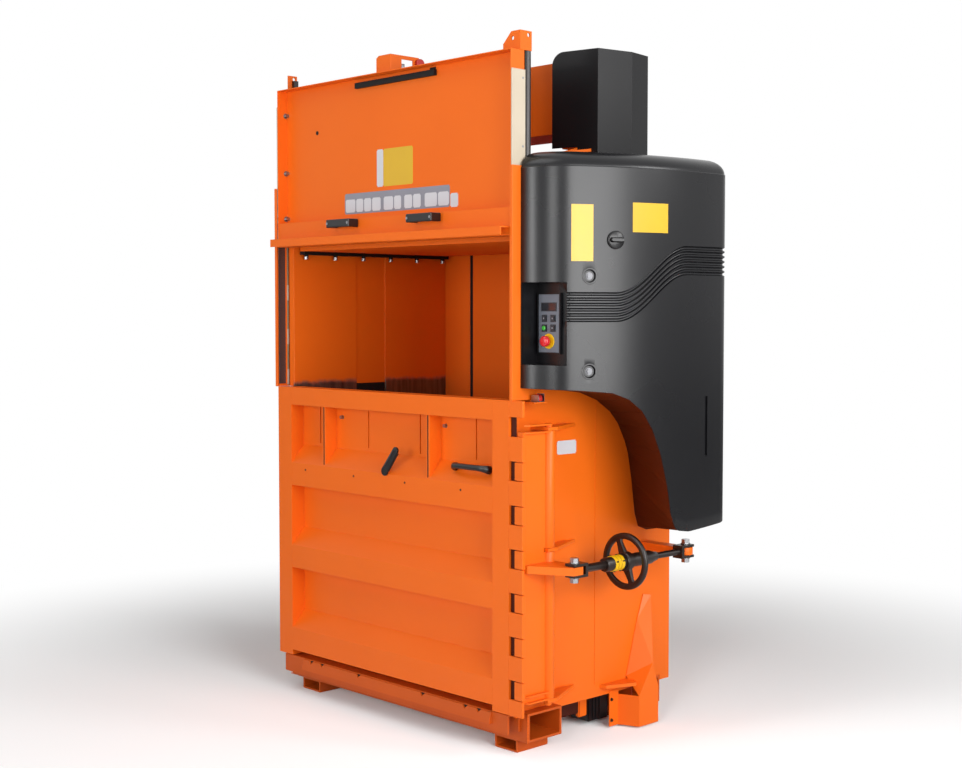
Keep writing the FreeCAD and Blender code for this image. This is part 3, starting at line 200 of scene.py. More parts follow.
# Bare, rubbed steel low inside the left wall: the colour over the coat, and where it is.
def wornSteel(tree, spot, colour, look):
    axes = addNode(tree, "ShaderNodeSeparateXYZ", links={0: spot})
    ragged = addNode(tree, "ShaderNodeTexNoise",
                     values={"Scale": 1000 / look["wornSize"], "Detail": 6.0,
                             "Roughness": 0.7}, links={"Vector": spot})
    lift = addNode(tree, "ShaderNodeMath", {"operation": "MULTIPLY_ADD"},
                   {1: look["wornRag"]}, {0: ragged.outputs["Fac"], 2: axes.outputs["Z"]})
    level = look["wornBelow"] + look["wornRag"] / 2
    worn = addNode(tree, "ShaderNodeMapRange", {"interpolation_type": "SMOOTHSTEP"},
                   {"From Min": level + look["wornFade"], "From Max": level - look["wornFade"]},
                   {"Value": lift.outputs[0]})
    inside = addNode(tree, "ShaderNodeMath", {"operation": "GREATER_THAN"},
                     {1: look["wornInside"]}, {0: axes.outputs["X"]})
    bare = addNode(tree, "ShaderNodeMath", {"operation": "MULTIPLY"},
                   links={0: worn.outputs[0], 1: inside.outputs[0]})
    streak = addNode(tree, "ShaderNodeMapping", values={"Scale": look["steelStreak"]},
                     links={"Vector": spot})
    grain = addNode(tree, "ShaderNodeTexNoise", values={"Scale": 1.0, "Detail": 5.0},
                    links={"Vector": streak.outputs[0]})
    steel = addNode(tree, "ShaderNodeMix", {"data_type": "RGBA"},
                    {6: linearColour(look["steelDark"]), 7: linearColour(look["steelPale"])},
                    {0: grain.outputs["Fac"]})
    both = addNode(tree, "ShaderNodeMix", {"data_type": "RGBA"},
                   links={0: bare.outputs[0], 6: colour, 7: steel.outputs[2]})
    return both.outputs[2], bare.outputs[0]


# Polyester powder coat, sprayed on steel and baked: one even colour under a soft broad
# sheen, fine orange peel in the highlights, a few faint rubbed marks.
def powderCoat(name, look):
    mat, tree, shader, spot = startMaterial(name)
    drift = addNode(tree, "ShaderNodeTexNoise",
                    values={"Scale": 1000 / look["driftSize"], "Detail": 3.0},
                    links={"Vector": spot})
    tint = addNode(tree, "ShaderNodeMix", {"data_type": "RGBA"},
                   {6: linearColour(look["colour"]), 7: linearColour(look["colourDeep"])},
                   {0: drift.outputs["Fac"]})
    marks = addNode(tree, "ShaderNodeTexNoise",
                    values={"Scale": 1000 / look["markSize"], "Detail": 8.0,
                            "Roughness": 0.75}, links={"Vector": spot})
    rare, rarest = 0.66, 0.78                        # only the noise's peaks leave a mark
    few = addNode(tree, "ShaderNodeMapRange",
                  values={"From Min": rare, "From Max": rarest, "To Max": look["markShare"]},
                  links={"Value": marks.outputs["Fac"]})
    rubbed = addNode(tree, "ShaderNodeMix", {"data_type": "RGBA"},
                     {7: linearColour(look["markColour"])},
                     {0: few.outputs[0], 6: tint.outputs[2]})
    colour = rubbed.outputs[2]
    if look.get("wornBelow"):
        colour, bare = wornSteel(tree, spot, colour, look)
        tree.links.new(bare, shader.inputs["Metallic"])
    tree.links.new(colour, shader.inputs["Base Color"])
    rough = addNode(tree, "ShaderNodeMapRange",
                    values={"To Min": look["rough"] - 0.04, "To Max": look["rough"] + 0.05},
                    links={"Value": drift.outputs["Fac"]})
    tree.links.new(rough.outputs[0], shader.inputs["Roughness"])
    shader.inputs["Specular IOR Level"].default_value = look["gloss"]
    # real orange peel is about 1.5 mm; drawn wider so that it shows
    peel = addNode(tree, "ShaderNodeTexNoise",
                   values={"Scale": 1000 / look["peelSize"], "Detail": 2.0},
                   links={"Vector": spot})
    bump = addNode(tree, "ShaderNodeBump", values={"Strength": look["peel"], "Distance": 0.0008},
                   links={"Height": peel.outputs["Fac"]})
    tree.links.new(bump.outputs[0], shader.inputs["Normal"])
    return mat


paint = {"colour": "#EE6D12", "colourDeep": "#E66610", "driftSize": 420,
         "markSize": 45, "markShare": 0.10, "markColour": "#FF8A3C", "rough": 0.42,
         "peelSize": 7, "peel": 0.10, "gloss": 0.3}
orangeCoat = powderCoat("orangePowderCoat", paint)
chamberCoat = powderCoat("wornChamberCoat",
                         {**paint, "wornBelow": 1.215, "wornSize": 90, "wornRag": 0.05,
                          "wornFade": 0.012, "wornInside": -0.762,
                          "steelStreak": (60, 60, 6), "steelDark": "#3A3634",
                          "steelPale": "#9A9389"})
# the base wears a darker, duller copy of the coat with dark blotches: painted shade low on the
# machine
shadedBaseCoat = powderCoat("paintedShadeBaseCoat",
                      {**paint, "colour": "#D05A10", "colourDeep": "#B34A0C", "rough": 0.48,
                       "markSize": 26, "markShare": 0.3, "markColour": "#8A3A10"})
# the sheet below the cover carries the same coat, darkened to a deep brown: painted shade under the
# cover
shadeCoat = powderCoat("paintedShadeReturnCoat",
                       {**paint, "colour": "#4A1606", "colourDeep": "#2C0D04",
                        "markColour": "#7A3412", "rough": 0.5, "gloss": 0.2})
blackCoat = powderCoat("blackPowderCoat",
                       {"colour": "#0C0B0D", "colourDeep": "#101012", "driftSize": 300,
                        "markSize": 30, "markShare": 0.14, "markColour": "#2A2827",
                        "rough": 0.34, "peelSize": 6, "peel": 0.12, "gloss": 0.2})
# iron castings and forged rods under thick black enamel: a wet shine with brown rub marks
blackIron = powderCoat("blackEnamelIron",
                       {"colour": "#17100E", "colourDeep": "#20150F", "driftSize": 120,
                        "markSize": 14, "markShare": 0.3, "markColour": "#4B3A30",
                        "rough": 0.33, "peelSize": 5, "peel": 0.14, "gloss": 0.5})


# Moulded plastic, injected or vacuum formed: a fine spark-eroded grain that softens the
# shine, and a gloss that wanders a little over a broad face.
def mouldedPlastic(name, look):
    mat, tree, shader, spot = startMaterial(name)
    cloud = addNode(tree, "ShaderNodeTexNoise",
                    values={"Scale": 1000 / look["cloudSize"], "Detail": 3.0},
                    links={"Vector": spot})
    tint = addNode(tree, "ShaderNodeMix", {"data_type": "RGBA"},
                   {6: linearColour(look["colour"]), 7: linearColour(look["colourDeep"])},
                   {0: cloud.outputs["Fac"]})
    tree.links.new(tint.outputs[2], shader.inputs["Base Color"])
    rough = addNode(tree, "ShaderNodeMapRange",
                    values={"To Min": look["rough"] - 0.04, "To Max": look["rough"] + 0.04},
                    links={"Value": cloud.outputs["Fac"]})
    tree.links.new(rough.outputs[0], shader.inputs["Roughness"])
    shader.inputs["IOR"].default_value = look.get("ior", 1.5)
    shader.inputs["Specular IOR Level"].default_value = look.get("gloss", 0.5)
    shader.inputs["Coat Weight"].default_value = look.get("coat", 0.0)
    shader.inputs["Coat Roughness"].default_value = 0.12
    grain = addNode(tree, "ShaderNodeTexVoronoi",
                    values={"Scale": 1000 / look["grainSize"]}, links={"Vector": spot})
    bump = addNode(tree, "ShaderNodeBump", values={"Strength": look["grain"], "Distance": 0.0005},
                   links={"Height": grain.outputs["Distance"]})
    tree.links.new(bump.outputs[0], shader.inputs["Normal"])
    return mat


# vacuum-formed ABS, satin: long soft highlights down its curves, over a hair-cell grain
# that is drawn at 3 mm so that it shows
coverBlack = mouldedPlastic("satinBlackAbs",
                            {"colour": "#0E0E11", "colourDeep": "#0B0B0E",
                             "cloudSize": 260, "rough": 0.28, "grainSize": 3.0,
                             "grain": 0.10, "gloss": 0.40})
# glass-filled nylon of handles and knobs: deep black, a moulded shine on every round edge
handleBlack = mouldedPlastic("blackNylon",
                             {"colour": "#0C0B0D", "colourDeep": "#121113",
                              "cloudSize": 60, "rough": 0.3, "grainSize": 1.5,
                              "grain": 0.12})
# sliding strips of polyethylene: cream, waxy, slightly dirty
waxy = {"colour": "#CFC2AE", "colourDeep": "#BEB09A", "cloudSize": 120, "rough": 0.46,
        "grainSize": 4, "grain": 0.08, "ior": 1.51, "gloss": 0.4}
slideCream = mouldedPlastic("creamPolyethylene", waxy)
# the posts' strips have gone brown with oil and dust
wornCream = mouldedPlastic("wornPolyethylene",
                           {**waxy, "colour": "#A39679", "colourDeep": "#8D8166"})
# the stop's head is glossy injection-moulded nylon, so its crown has a small hot spot
stopRed = mouldedPlastic("glossRedPlastic",
                         {"colour": "#D5202B", "colourDeep": "#C21A25", "cloudSize": 20,
                          "rough": 0.28, "grainSize": 1, "grain": 0.03, "coat": 0.3})
# soft vinyl cap and switch body: a duller red
capRed = mouldedPlastic("redCapVinyl",
                        {"colour": "#C42A26", "colourDeep": "#AE1F1C", "cloudSize": 15,
                         "rough": 0.38, "grainSize": 1, "grain": 0.06})
# pigmented ABS of the stop's ring and the sleeve's band: a flat, strong yellow
markYellow = mouldedPlastic("yellowAbs",
                            {"colour": "#E9B90F", "colourDeep": "#DCAA0B",
                             "cloudSize": 25, "rough": 0.38, "grainSize": 1.5,
                             "grain": 0.05, "gloss": 0.4})
# printed polyester film over a plate, as on a control panel: satin grey
fasciaGrey = mouldedPlastic("greyFasciaFilm",
                            {"colour": "#6C727C", "colourDeep": "#656B75",
                             "cloudSize": 80, "rough": 0.42, "grainSize": 1.2,
                             "grain": 0.06, "gloss": 0.4})
# domed key caps of the same film, dark, pale and green
keyFilm = {"cloudSize": 20, "rough": 0.4, "grainSize": 1, "grain": 0.05}
keyDark = mouldedPlastic("darkKeyFilm", {**keyFilm, "colour": "#26282E", "colourDeep": "#202227"})
keyPale = mouldedPlastic("paleKeyFilm", {**keyFilm, "colour": "#9CA0A8", "colourDeep": "#8E929A"})
keyGreen = mouldedPlastic("greenKeyFilm",
                          {"colour": "#3FB43C", "colourDeep": "#34A232",
                           "cloudSize": 12, "rough": 0.32, "grainSize": 1, "grain": 0.03})
# blank self-adhesive plates, glossy polyester film: flat colour with a clear reflection
film = {"cloudSize": 90, "rough": 0.33, "grainSize": 2, "grain": 0.02, "coat": 0.2,
        "gloss": 0.35}
filmWhite = mouldedPlastic("whitePolyesterFilm",
                           {**film, "colour": "#D2D2D6", "colourDeep": "#C8C8CD"})
filmGrey = mouldedPlastic("greyPolyesterFilm",
                          {**film, "colour": "#8E8E98", "colourDeep": "#84848E"})
filmYellow = mouldedPlastic("yellowPolyesterFilm",
                            {**film, "colour": "#D2A727", "colourDeep": "#DBB023"})
# EPDM strips, and painted shade inside holes, slots and notches: matt, almost no shine
rubberAndShadeBlack = mouldedPlastic("mattBlackRubberAndShade",
                           {"colour": "#0B0B0B", "colourDeep": "#121212",
                            "cloudSize": 40, "rough": 0.62, "grainSize": 2.0,
                            "grain": 0.2, "gloss": 0.25})


# Bare or plated metal: a cloudy finish, streaked the way it was drawn or turned.
def metalSkin(name, look):
    mat, tree, shader, spot = startMaterial(name)
    turned = addNode(tree, "ShaderNodeMapping", values={"Scale": look["streak"]},
                     links={"Vector": spot})
    grain = addNode(tree, "ShaderNodeTexNoise", values={"Scale": 1.0, "Detail": 5.0},
                    links={"Vector": turned.outputs[0]})
    tint = addNode(tree, "ShaderNodeMix", {"data_type": "RGBA"},
                   {6: linearColour(look["colour"]), 7: linearColour(look["colourDeep"])},
                   {0: grain.outputs["Fac"]})
    tree.links.new(tint.outputs[2], shader.inputs["Base Color"])
    rough = addNode(tree, "ShaderNodeMapRange",
                    values={"To Min": look["rough"] - 0.07, "To Max": look["rough"] + 0.09},
                    links={"Value": grain.outputs["Fac"]})
    tree.links.new(rough.outputs[0], shader.inputs["Roughness"])
    shader.inputs["Metallic"].default_value = 1.0
    bump = addNode(tree, "ShaderNodeBump", values={"Strength": look["bump"], "Distance": 0.0003},
                   links={"Height": grain.outputs["Fac"]})
    tree.links.new(bump.outputs[0], shader.inputs["Normal"])
    return mat


# bolts are electroplated with zinc: bright, a little blue, cloudy at 3 mm
zincPlate = metalSkin("zincPlatedSteel",
                      {"colour": "#B4B5B8", "colourDeep": "#77797C",
                       "streak": (300, 300, 300), "rough": 0.30, "bump": 0.1})
# screws deep in a well get a darker zinc that paints the shade of the well; the posts' rails share
# it as an older, duller zinc
dullZinc = metalSkin("dulledZincSteel",
                     {"colour": "#77777A", "colourDeep": "#4C4C4F",
                      "streak": (300, 300, 300), "rough": 0.42, "bump": 0.1})
# piston rods are ground and hard-chromed: a clean narrow highlight
chromeRod = metalSkin("hardChromeRod",
                      {"colour": "#D6D7D9", "colourDeep": "#C2C4C6",
                       "streak": (40, 40, 400), "rough": 0.14, "bump": 0.02})


# A dark acrylic window over a dim display: nearly black, with a clear reflection.
def displayWindow():
    mat, tree, shader, spot = startMaterial("darkDisplayWindow")
    faint = addNode(tree, "ShaderNodeTexNoise", values={"Scale": 60.0},
                    links={"Vector": spot})
    tint = addNode(tree, "ShaderNodeMix", {"data_type": "RGBA"},
                   {6: linearColour("#2C2E34"), 7: linearColour("#24262B")},
                   {0: faint.outputs["Fac"]})
    tree.links.new(tint.outputs[2], shader.inputs["Base Color"])
    shader.inputs["Roughness"].default_value = 0.16
    shader.inputs["Coat Weight"].default_value = 0.3
    return mat


displayDark = displayWindow()
print("materials made")


# Link a finished mesh as a piece on a body, with its finish.
def addObject(name, mesh, body, finish, replaced=()):
    piece = newObject(name, mesh)
    if finish is not None:
        mesh.materials.clear()
        mesh.materials.append(finish)
    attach(piece, body)
    if replaced:
        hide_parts(*replaced)
    return piece


# The plain mesh that a carrier's modifiers make. The carrier goes.
def takeMesh(name, carrier):
    graph = bpy.context.evaluated_depsgraph_get()
    done = bpy.data.meshes.new_from_object(carrier.evaluated_get(graph))
    carrier.modifiers.clear()
    bpy.data.objects.remove(carrier)
    done.name = name
    return done


# Run modifiers over a mesh and return the plain result.
def bakeModifiers(name, mesh, steps):
    carrier = newObject(name + "Carrier", mesh)
    for kind, settings in steps:
        mod = carrier.modifiers.new(kind.lower(), kind)
        for key, value in settings.items():
            setattr(mod, key, value)
    return takeMesh(name, carrier)


def smoothAbove(mesh, degrees):
    for face in mesh.polygons:
        face.use_smooth = True
    mesh.set_sharp_from_angle(angle=math.radians(degrees))


# The CAD shape with its sharp edges broken, as folded and ground steel has.
def softened(node, body, finish, width, segments=2):
    shell = bmesh.new()
    shell.from_mesh(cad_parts[node].data)
    bmesh.ops.remove_doubles(shell, verts=shell.verts, dist=2e-5)
    bmesh.ops.dissolve_limit(shell, angle_limit=math.radians(0.8), verts=shell.verts,
                             edges=shell.edges)
    mesh = bpy.data.meshes.new(node + "Raw")
    shell.to_mesh(mesh)
    shell.free()
    done = bakeModifiers(node + "Soft", mesh, [
        ("BEVEL", {"width": width / 1000, "segments": segments, "limit_method": "ANGLE",
                   "angle_limit": math.radians(40), "use_clamp_overlap": True,
                   "harden_normals": True}),
        ("TRIANGULATE", {"quad_method": "BEAUTY", "ngon_method": "BEAUTY",
                         "keep_custom_normals": True})])
    return addObject(node + "Soft", done, body, finish, (node,))


# CAD pieces that are shown as they are only change their finish.
def dress(finish, *names):
    for name in names:
        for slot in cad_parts[name].material_slots:
            slot.material = finish


# A block in machine millimetres, added to a bmesh.
def blockMesh(shell, low, high):
    a, b = place(*low), place(*high)
    middle = (a + b) / 2
    size = [abs(b[k] - a[k]) for k in range(3)]
    made = bmesh.ops.create_cube(shell, size=1.0)["verts"]
    bmesh.ops.scale(shell, vec=size, verts=made)
    bmesh.ops.translate(shell, vec=middle, verts=made)
    return made


# Walls between rings of corners, taken in order, with a face over each end.
def joinRings(shell, rings, capped=True):
    count = len(rings[0])
    for one, two in zip(rings, rings[1:]):
        for k in range(count):
            n = (k + 1) % count
            shell.faces.new((one[k], one[n], two[n], two[k]))
    if capped:
        shell.faces.new(list(reversed(rings[0])))
        shell.faces.new(rings[-1])


# A turned shape between two points in machine mm: (share, radius) pairs.
def roundMesh(shell, start, end, radii, steps=28):
    a, b = place(*start), place(*end)
    along = (b - a)
    turn = along.to_track_quat("Z", "Y").to_matrix()
    rings = []
    for share, radius in radii:
        ring = []
        for k in range(steps):
            angle = 2 * math.pi * k / steps
            flat = Vector((math.cos(angle), math.sin(angle), 0)) * radius / 1000
            ring.append(shell.verts.new(a + along * share + turn @ flat))
        rings.append(ring)
    joinRings(shell, rings)


def plainMesh(shell, name):
    bmesh.ops.recalc_face_normals(shell, faces=shell.faces)
    mesh = bpy.data.meshes.new(name)
    shell.to_mesh(mesh)
    shell.free()
    return mesh


def meshFrom(shell, name, degrees):
    mesh = plainMesh(shell, name)
    smoothAbove(mesh, degrees)
    return mesh


# A piece straight from its bmesh, smooth below an angle between faces.
def addPiece(name, shell, body, finish, replaced=(), degrees=32):
    return addObject(name, meshFrom(shell, name, degrees), body, finish, replaced)


# What repeats comes from two node trees: stitch welds and bolt heads.
weldLook = {"pitch": 3.0, "flat": 0.62, "uneven": 0.26}
boltLook = {"thin": 1.6, "sides": 6, "corner": 0.577}   # a corner's reach per width across


def newTree(name, inputs):
    tree = bpy.data.node_groups.new(name, "GeometryNodeTree")
    tree.interface.new_socket("Geometry", in_out="INPUT", socket_type="NodeSocketGeometry")
    keys = {}
    for label, kind in inputs.items():
        item = tree.interface.new_socket(label, in_out="INPUT", socket_type="NodeSocket" + kind)
        keys[label] = item.identifier
    tree.interface.new_socket("Geometry", in_out="OUTPUT", socket_type="NodeSocketGeometry")
    return tree, addNode(tree, "NodeGroupInput"), keys


# Drops of weld along every edge of the incoming lines.
def weldTree():
    tree, entry, keys = newTree("weldStitches", {
        "Drop": "Float", "Pitch": "Float", "Flat": "Float", "Uneven": "Float",
        "Finish": "Material"})
    line = addNode(tree, "GeometryNodeMeshToCurve", links={0: entry.outputs["Geometry"]})
    even = addNode(tree, "GeometryNodeResampleCurve", {"mode": "LENGTH"},
                   links={"Curve": line.outputs[0], "Length": entry.outputs["Pitch"]})
    drop = addNode(tree, "GeometryNodeMeshIcoSphere", values={"Subdivisions": 1},
                   links={"Radius": entry.outputs["Drop"]})
    low = addNode(tree, "ShaderNodeMath", {"operation": "SUBTRACT"}, values={0: 1.0},
                  links={1: entry.outputs["Uneven"]})
    high = addNode(tree, "ShaderNodeMath", {"operation": "ADD"}, values={0: 1.0},
                   links={1: entry.outputs["Uneven"]})
    size = addNode(tree, "FunctionNodeRandomValue", {"data_type": "FLOAT"},
                   values={"Seed": 7}, links={2: low.outputs[0], 3: high.outputs[0]})
    tangent = addNode(tree, "GeometryNodeInputTangent")
    turn = addNode(tree, "FunctionNodeAlignRotationToVector", {"axis": "X"},
                   links={"Vector": tangent.outputs[0]})
    shape = addNode(tree, "ShaderNodeCombineXYZ", values={1: 1.0, 2: 1.0},
                    links={0: entry.outputs["Flat"]})
    grown = addNode(tree, "ShaderNodeVectorMath", {"operation": "SCALE"},
                    links={0: shape.outputs[0], "Scale": size.outputs[1]})
    spread = addNode(tree, "GeometryNodeInstanceOnPoints",
                     links={"Points": even.outputs[0], "Instance": drop.outputs["Mesh"],
                            "Rotation": turn.outputs[0], "Scale": grown.outputs[0]})
    real = addNode(tree, "GeometryNodeRealizeInstances", links={0: spread.outputs[0]})
    smooth = addNode(tree, "GeometryNodeSetShadeSmooth", links={0: real.outputs[0]})
    skin = addNode(tree, "GeometryNodeSetMaterial",
                   links={"Geometry": smooth.outputs[0], "Material": entry.outputs["Finish"]})
    addNode(tree, "NodeGroupOutput", links={0: skin.outputs[0]})
    return tree, keys


# A head over a washer on every point, turned to the point's own direction.
def boltTree():
    tree, entry, keys = newTree("boltHeads", {
        "Across": "Float", "High": "Float", "Washer": "Float", "Thin": "Float",
        "Sides": "Int", "Finish": "Material"})
    headSize = addNode(tree, "ShaderNodeMath", {"operation": "MULTIPLY"},
                       values={1: boltLook["corner"]}, links={0: entry.outputs["Across"]})
    head = addNode(tree, "GeometryNodeMeshCylinder",
                   links={"Vertices": entry.outputs["Sides"], "Radius": headSize.outputs[0],
                          "Depth": entry.outputs["High"]})
    plateSize = addNode(tree, "ShaderNodeMath", {"operation": "MULTIPLY"},
                        values={1: 0.5}, links={0: entry.outputs["Washer"]})
    plate = addNode(tree, "GeometryNodeMeshCylinder", values={"Vertices": 24},
                    links={"Radius": plateSize.outputs[0], "Depth": entry.outputs["Thin"]})
    half = addNode(tree, "ShaderNodeMath", {"operation": "MULTIPLY_ADD"},
                   values={1: 0.5}, links={0: entry.outputs["High"],
                                           2: entry.outputs["Thin"]})
    lift = addNode(tree, "ShaderNodeCombineXYZ", links={2: half.outputs[0]})
    raised = addNode(tree, "GeometryNodeTransform",
                     links={"Geometry": head.outputs["Mesh"],
                            "Translation": lift.outputs[0]})
    middle = addNode(tree, "ShaderNodeMath", {"operation": "MULTIPLY"},
                     values={1: 0.5}, links={0: entry.outputs["Thin"]})
    liftPlate = addNode(tree, "ShaderNodeCombineXYZ", links={2: middle.outputs[0]})
    laid = addNode(tree, "GeometryNodeTransform",
                   links={"Geometry": plate.outputs["Mesh"],
                          "Translation": liftPlate.outputs[0]})
    both = addNode(tree, "GeometryNodeJoinGeometry")
    tree.links.new(laid.outputs[0], both.inputs[0])
    tree.links.new(raised.outputs[0], both.inputs[0])
    aim = addNode(tree, "GeometryNodeInputNamedAttribute", {"data_type": "FLOAT_VECTOR"},
                  values={"Name": "aim"})
    turn = addNode(tree, "FunctionNodeAlignRotationToVector", {"axis": "Z"},
                   links={"Vector": aim.outputs[0]})
    spread = addNode(tree, "GeometryNodeInstanceOnPoints",
                     links={"Points": entry.outputs["Geometry"],
                            "Instance": both.outputs[0], "Rotation": turn.outputs[0]})
    real = addNode(tree, "GeometryNodeRealizeInstances", links={0: spread.outputs[0]})
    skin = addNode(tree, "GeometryNodeSetMaterial",
                   links={"Geometry": real.outputs[0], "Material": entry.outputs["Finish"]})
    addNode(tree, "NodeGroupOutput", links={0: skin.outputs[0]})
    return tree, keys


weldNodes, weldKeys = weldTree()
boltNodes, boltKeys = boltTree()


# The plain mesh that a node tree makes on a carrier mesh.
def grown(name, mesh, tree, keys, values):
    carrier = newObject(name + "Carrier", mesh)
    mod = carrier.modifiers.new("grow", "NODES")
    mod.node_group = tree
    for label, value in values.items():
        mod[keys[label]] = value
    return takeMesh(name, carrier)


# Weld runs between points in machine mm: (start, end, stitch, gap), with a stitch of 0 for
# a full run, made of drops of one radius.
def stitchWelds(name, body, runs, drop):
    points, edges = [], []
    for start, end, stitch, gap in runs:
        a, b = Vector(start), Vector(end)
        long = (b - a).length
        if not stitch:
            stitch, gap = long, 0
        count = max(1, int((long + gap) // (stitch + gap)))
        slack = (long - count * stitch - (count - 1) * gap) / 2
        for k in range(count):
            at = slack + k * (stitch + gap)
            points += [place(*(a + (b - a) * (at / long))),
                       place(*(a + (b - a) * ((at + stitch) / long)))]
            edges.append((len(points) - 2, len(points) - 1))
    mesh = bpy.data.meshes.new(name + "Lines")
    mesh.from_pydata(points, edges, [])
    done = grown(name, mesh, weldNodes, weldKeys, {
        "Drop": drop / 1000, "Pitch": weldLook["pitch"] / 1000,
        "Flat": weldLook["flat"], "Uneven": weldLook["uneven"], "Finish": orangeCoat})
    addObject(name, done, body, None)


# Bolt heads at (x, y, z) with the direction that each faces.
def bolts(name, body, spots, finish, look):
    look = {**boltLook, **look}
    mesh = bpy.data.meshes.new(name + "Points")
    mesh.from_pydata([place(*spot) for spot, aim in spots], [], [])
    aims = mesh.attributes.new("aim", "FLOAT_VECTOR", "POINT")
    for k, (spot, aim) in enumerate(spots):
        aims.data[k].vector = aim
    done = grown(name, mesh, boltNodes, boltKeys, {
        "Across": look["across"] / 1000, "High": look["high"] / 1000,
        "Washer": look["washer"] / 1000, "Thin": look["thin"] / 1000,
        "Sides": look["sides"], "Finish": finish})
    smoothAbove(done, 30)
    addObject(name, done, body, None)


for node, coat in (("chamber_left", chamberCoat), ("chamber_right", orangeCoat),
                   ("chamber_back", orangeCoat)):
    softened(node, "frame", coat, 1.5)
dress(orangeCoat, "chamber_floor")
# the fork tubes and the skirt take the darkened base coat, painted shade
for node, width in (("fork_tube_front", 4), ("fork_tube_rear", 3), ("front_skirt", 1.5)):
    softened(node, "frame", shadedBaseCoat, width)
for node, width in (("corner_guard", 1.2), ("guide_post_left", 1.2),
                    ("guide_post_right", 1.2), ("cross_beam", 3), ("switch_bracket", 1),
                    ("lock_hinge", 1.5), ("turnbuckle_anchor", 3), ("hinge_leaf_1", 1.2),
                    ("hinge_leaf_2", 1.2), ("hinge_leaf_3", 1.2)):
    softened(node, "frame", orangeCoat, width)
softened("platen", "press", orangeCoat, 1.5)
dress(shadeCoat, "cover_return")
dress(rubberAndShadeBlack, "wiper_strip_left", "wiper_strip_right", "gate_seal")
dress(blackIron, "cylinder_barrel", "spring_tube_left", "spring_tube_right")
dress(chromeRod, "cylinder_stage", "spring_rod_left", "spring_rod_right")
chamberLook = {"slots": (-454, -163, 128, 419), "wide": 18, "back": 852, "low": 285,
               "high": 1825, "trackHole": (-616, 361, 515, 1160, 1201),
               "notches": (-449, -383, -162, 198, 419, 486),
               "notch": (9, 7.0, 7.9, 132, 144), "toothBack": (636, 660, 10.5, 12, 152, 1196)}
railLook = {"far": 652.5, "low": 1210, "high": 1970, "rail": (649.4, 6, 38),
            "strip": (649.8, 38, 54), "pads": (1236, 1394, 1566), "pad": (9, 1, 30),
            "proud": 0.3, "edge": 0.2}


# Dark blocks stand in the strap slots of the back wall and in a gap in the left track: painted
# shade in the slots and the gap.
def chamberShadeBlocks():
    look = chamberLook
    shell = bmesh.new()
    for x in look["slots"]:
        blockMesh(shell, (x - 3, look["back"], look["low"] + 2),
                  (x + look["wide"] + 3, look["back"] + 1.5, look["high"] - 2))
    x, near, far, low, high = look["trackHole"]
    blockMesh(shell, (x - 1, near, low), (x + 0.6, far, high))
    addPiece("slotShade", shell, "frame", rubberAndShadeBlack)


# A steel rail and a cream sliding strip line each post, with pale pads along the strip.
def postRails():
    look = railLook
    far, low, high = look["far"], look["low"], look["high"]
    near, front, back = look["rail"]
    stripNear, stripFront, stripBack = look["strip"]
    padFront, padBack, padTall = look["pad"]
    rails, strips, pads = bmesh.new(), bmesh.new(), bmesh.new()
    for side in sides:
        blockMesh(rails, (side * near, front, low), (side * far, back, high))
        blockMesh(strips, (side * stripNear, stripFront, low), (side * far, stripBack, high))
    for z in look["pads"]:
        blockMesh(pads, (-far, stripBack - padFront, z - padTall),
                  (-stripNear + look["proud"], stripBack + padBack, z + padTall))
    for shell, name, material, slotName in (
            (rails, "postRails", dullZinc, "steel"),
            (strips, "postStrips", wornCream, "cream_plastic"),
            (pads, "railPads", slideCream, "cream_plastic")):
        bmesh.ops.bevel(shell, geom=shell.edges[:], offset=look["edge"] / 1000, segments=1,
                        affect="EDGES")
        addPiece(name, shell, "frame", material)


# Small dark blocks, painted shade: in the notches along the skirt and in the gap behind the door's
# teeth.
def smallCutouts():
    half, front, back, low, high = chamberLook["notch"]
    shell = bmesh.new()
    for x in chamberLook["notches"]:
        blockMesh(shell, (x - half, front, low), (x + half, back, high))
    addPiece("skirtNotches", shell, "frame", rubberAndShadeBlack)
    shell = bmesh.new()
    left, right, front, back, low, high = chamberLook["toothBack"]
    blockMesh(shell, (left, front, low), (right, back, high))
    addPiece("toothGap", shell, "door", shadeCoat)


underLook = {"block": ((470, 478, 20), (560, 585, 128)),
             "post": ((538, 432, 44), (556, 476, 147)),
             "plate": ((548, 335, 60), (556, 432, 147)), "round": 4,
             "ribs": (498, 516, 534), "rib": (556, 563, 5, 30, 120), "bolt": (490, 110)}


# Under the right wall hang a black block, an orange post and a plate in deep shade.
def underParts():
    look = underLook
    # the plate takes the darkened coat, painted shade
    for name, key, finish, slotName in (("underBlock", "block", handleBlack, "black_plastic"),
                                        ("underPost", "post", orangeCoat, "orange"),
                                        ("underPlate", "plate", shadeCoat, "orange")):
        shell = bmesh.new()
        blockMesh(shell, *look[key])
        bmesh.ops.bevel(shell, geom=shell.edges[:], offset=look["round"] / 1000,
                        segments=2, affect="EDGES")
        if key == "block":                             # ribbed face and a bolt head
            left, right, wide, low, high = look["rib"]
            for y in look["ribs"]:
                blockMesh(shell, (left, y, low), (right, y + wide, high))
            y, z = look["bolt"]
            roundMesh(shell, (560, y, z), (566, y, z), [(0, 5), (1, 4)], 12)
        addPiece(name, shell, "frame", finish)


chamberShadeBlocks()
postRails()
smallCutouts()
underParts()
print("frame dressed")

softened("gate_panel", "gate", orangeCoat, 1.2)
softened("hose_bracket", "gate", orangeCoat, 1)
for hand in ("left", "right"):
    softened(f"slide_strip_{hand}", "gate", slideCream, 1.5)
for hand in ("left", "right"):
    softened(f"gate_grip_{hand}", "gate", handleBlack, 4, 3)
softened("hose_fitting", "gate", zincPlate, 1)
softened("hose_cap", "gate", capRed, 2)
gateLook = {"bolts": (-640, 38, (2253, 2030, 1853)), "strips": (649, 50, (2256, 2033)),
            "grips": (-212, 238), "gripScrew": (59.5, -48, 1816), "rollers": (-195, 190),
            "roller": (43, 33, 2318), "hole": (-445, 2171, 8), "notch": (200, 231, 2320, 2341),
            "skin": (42.4, 43.2)}


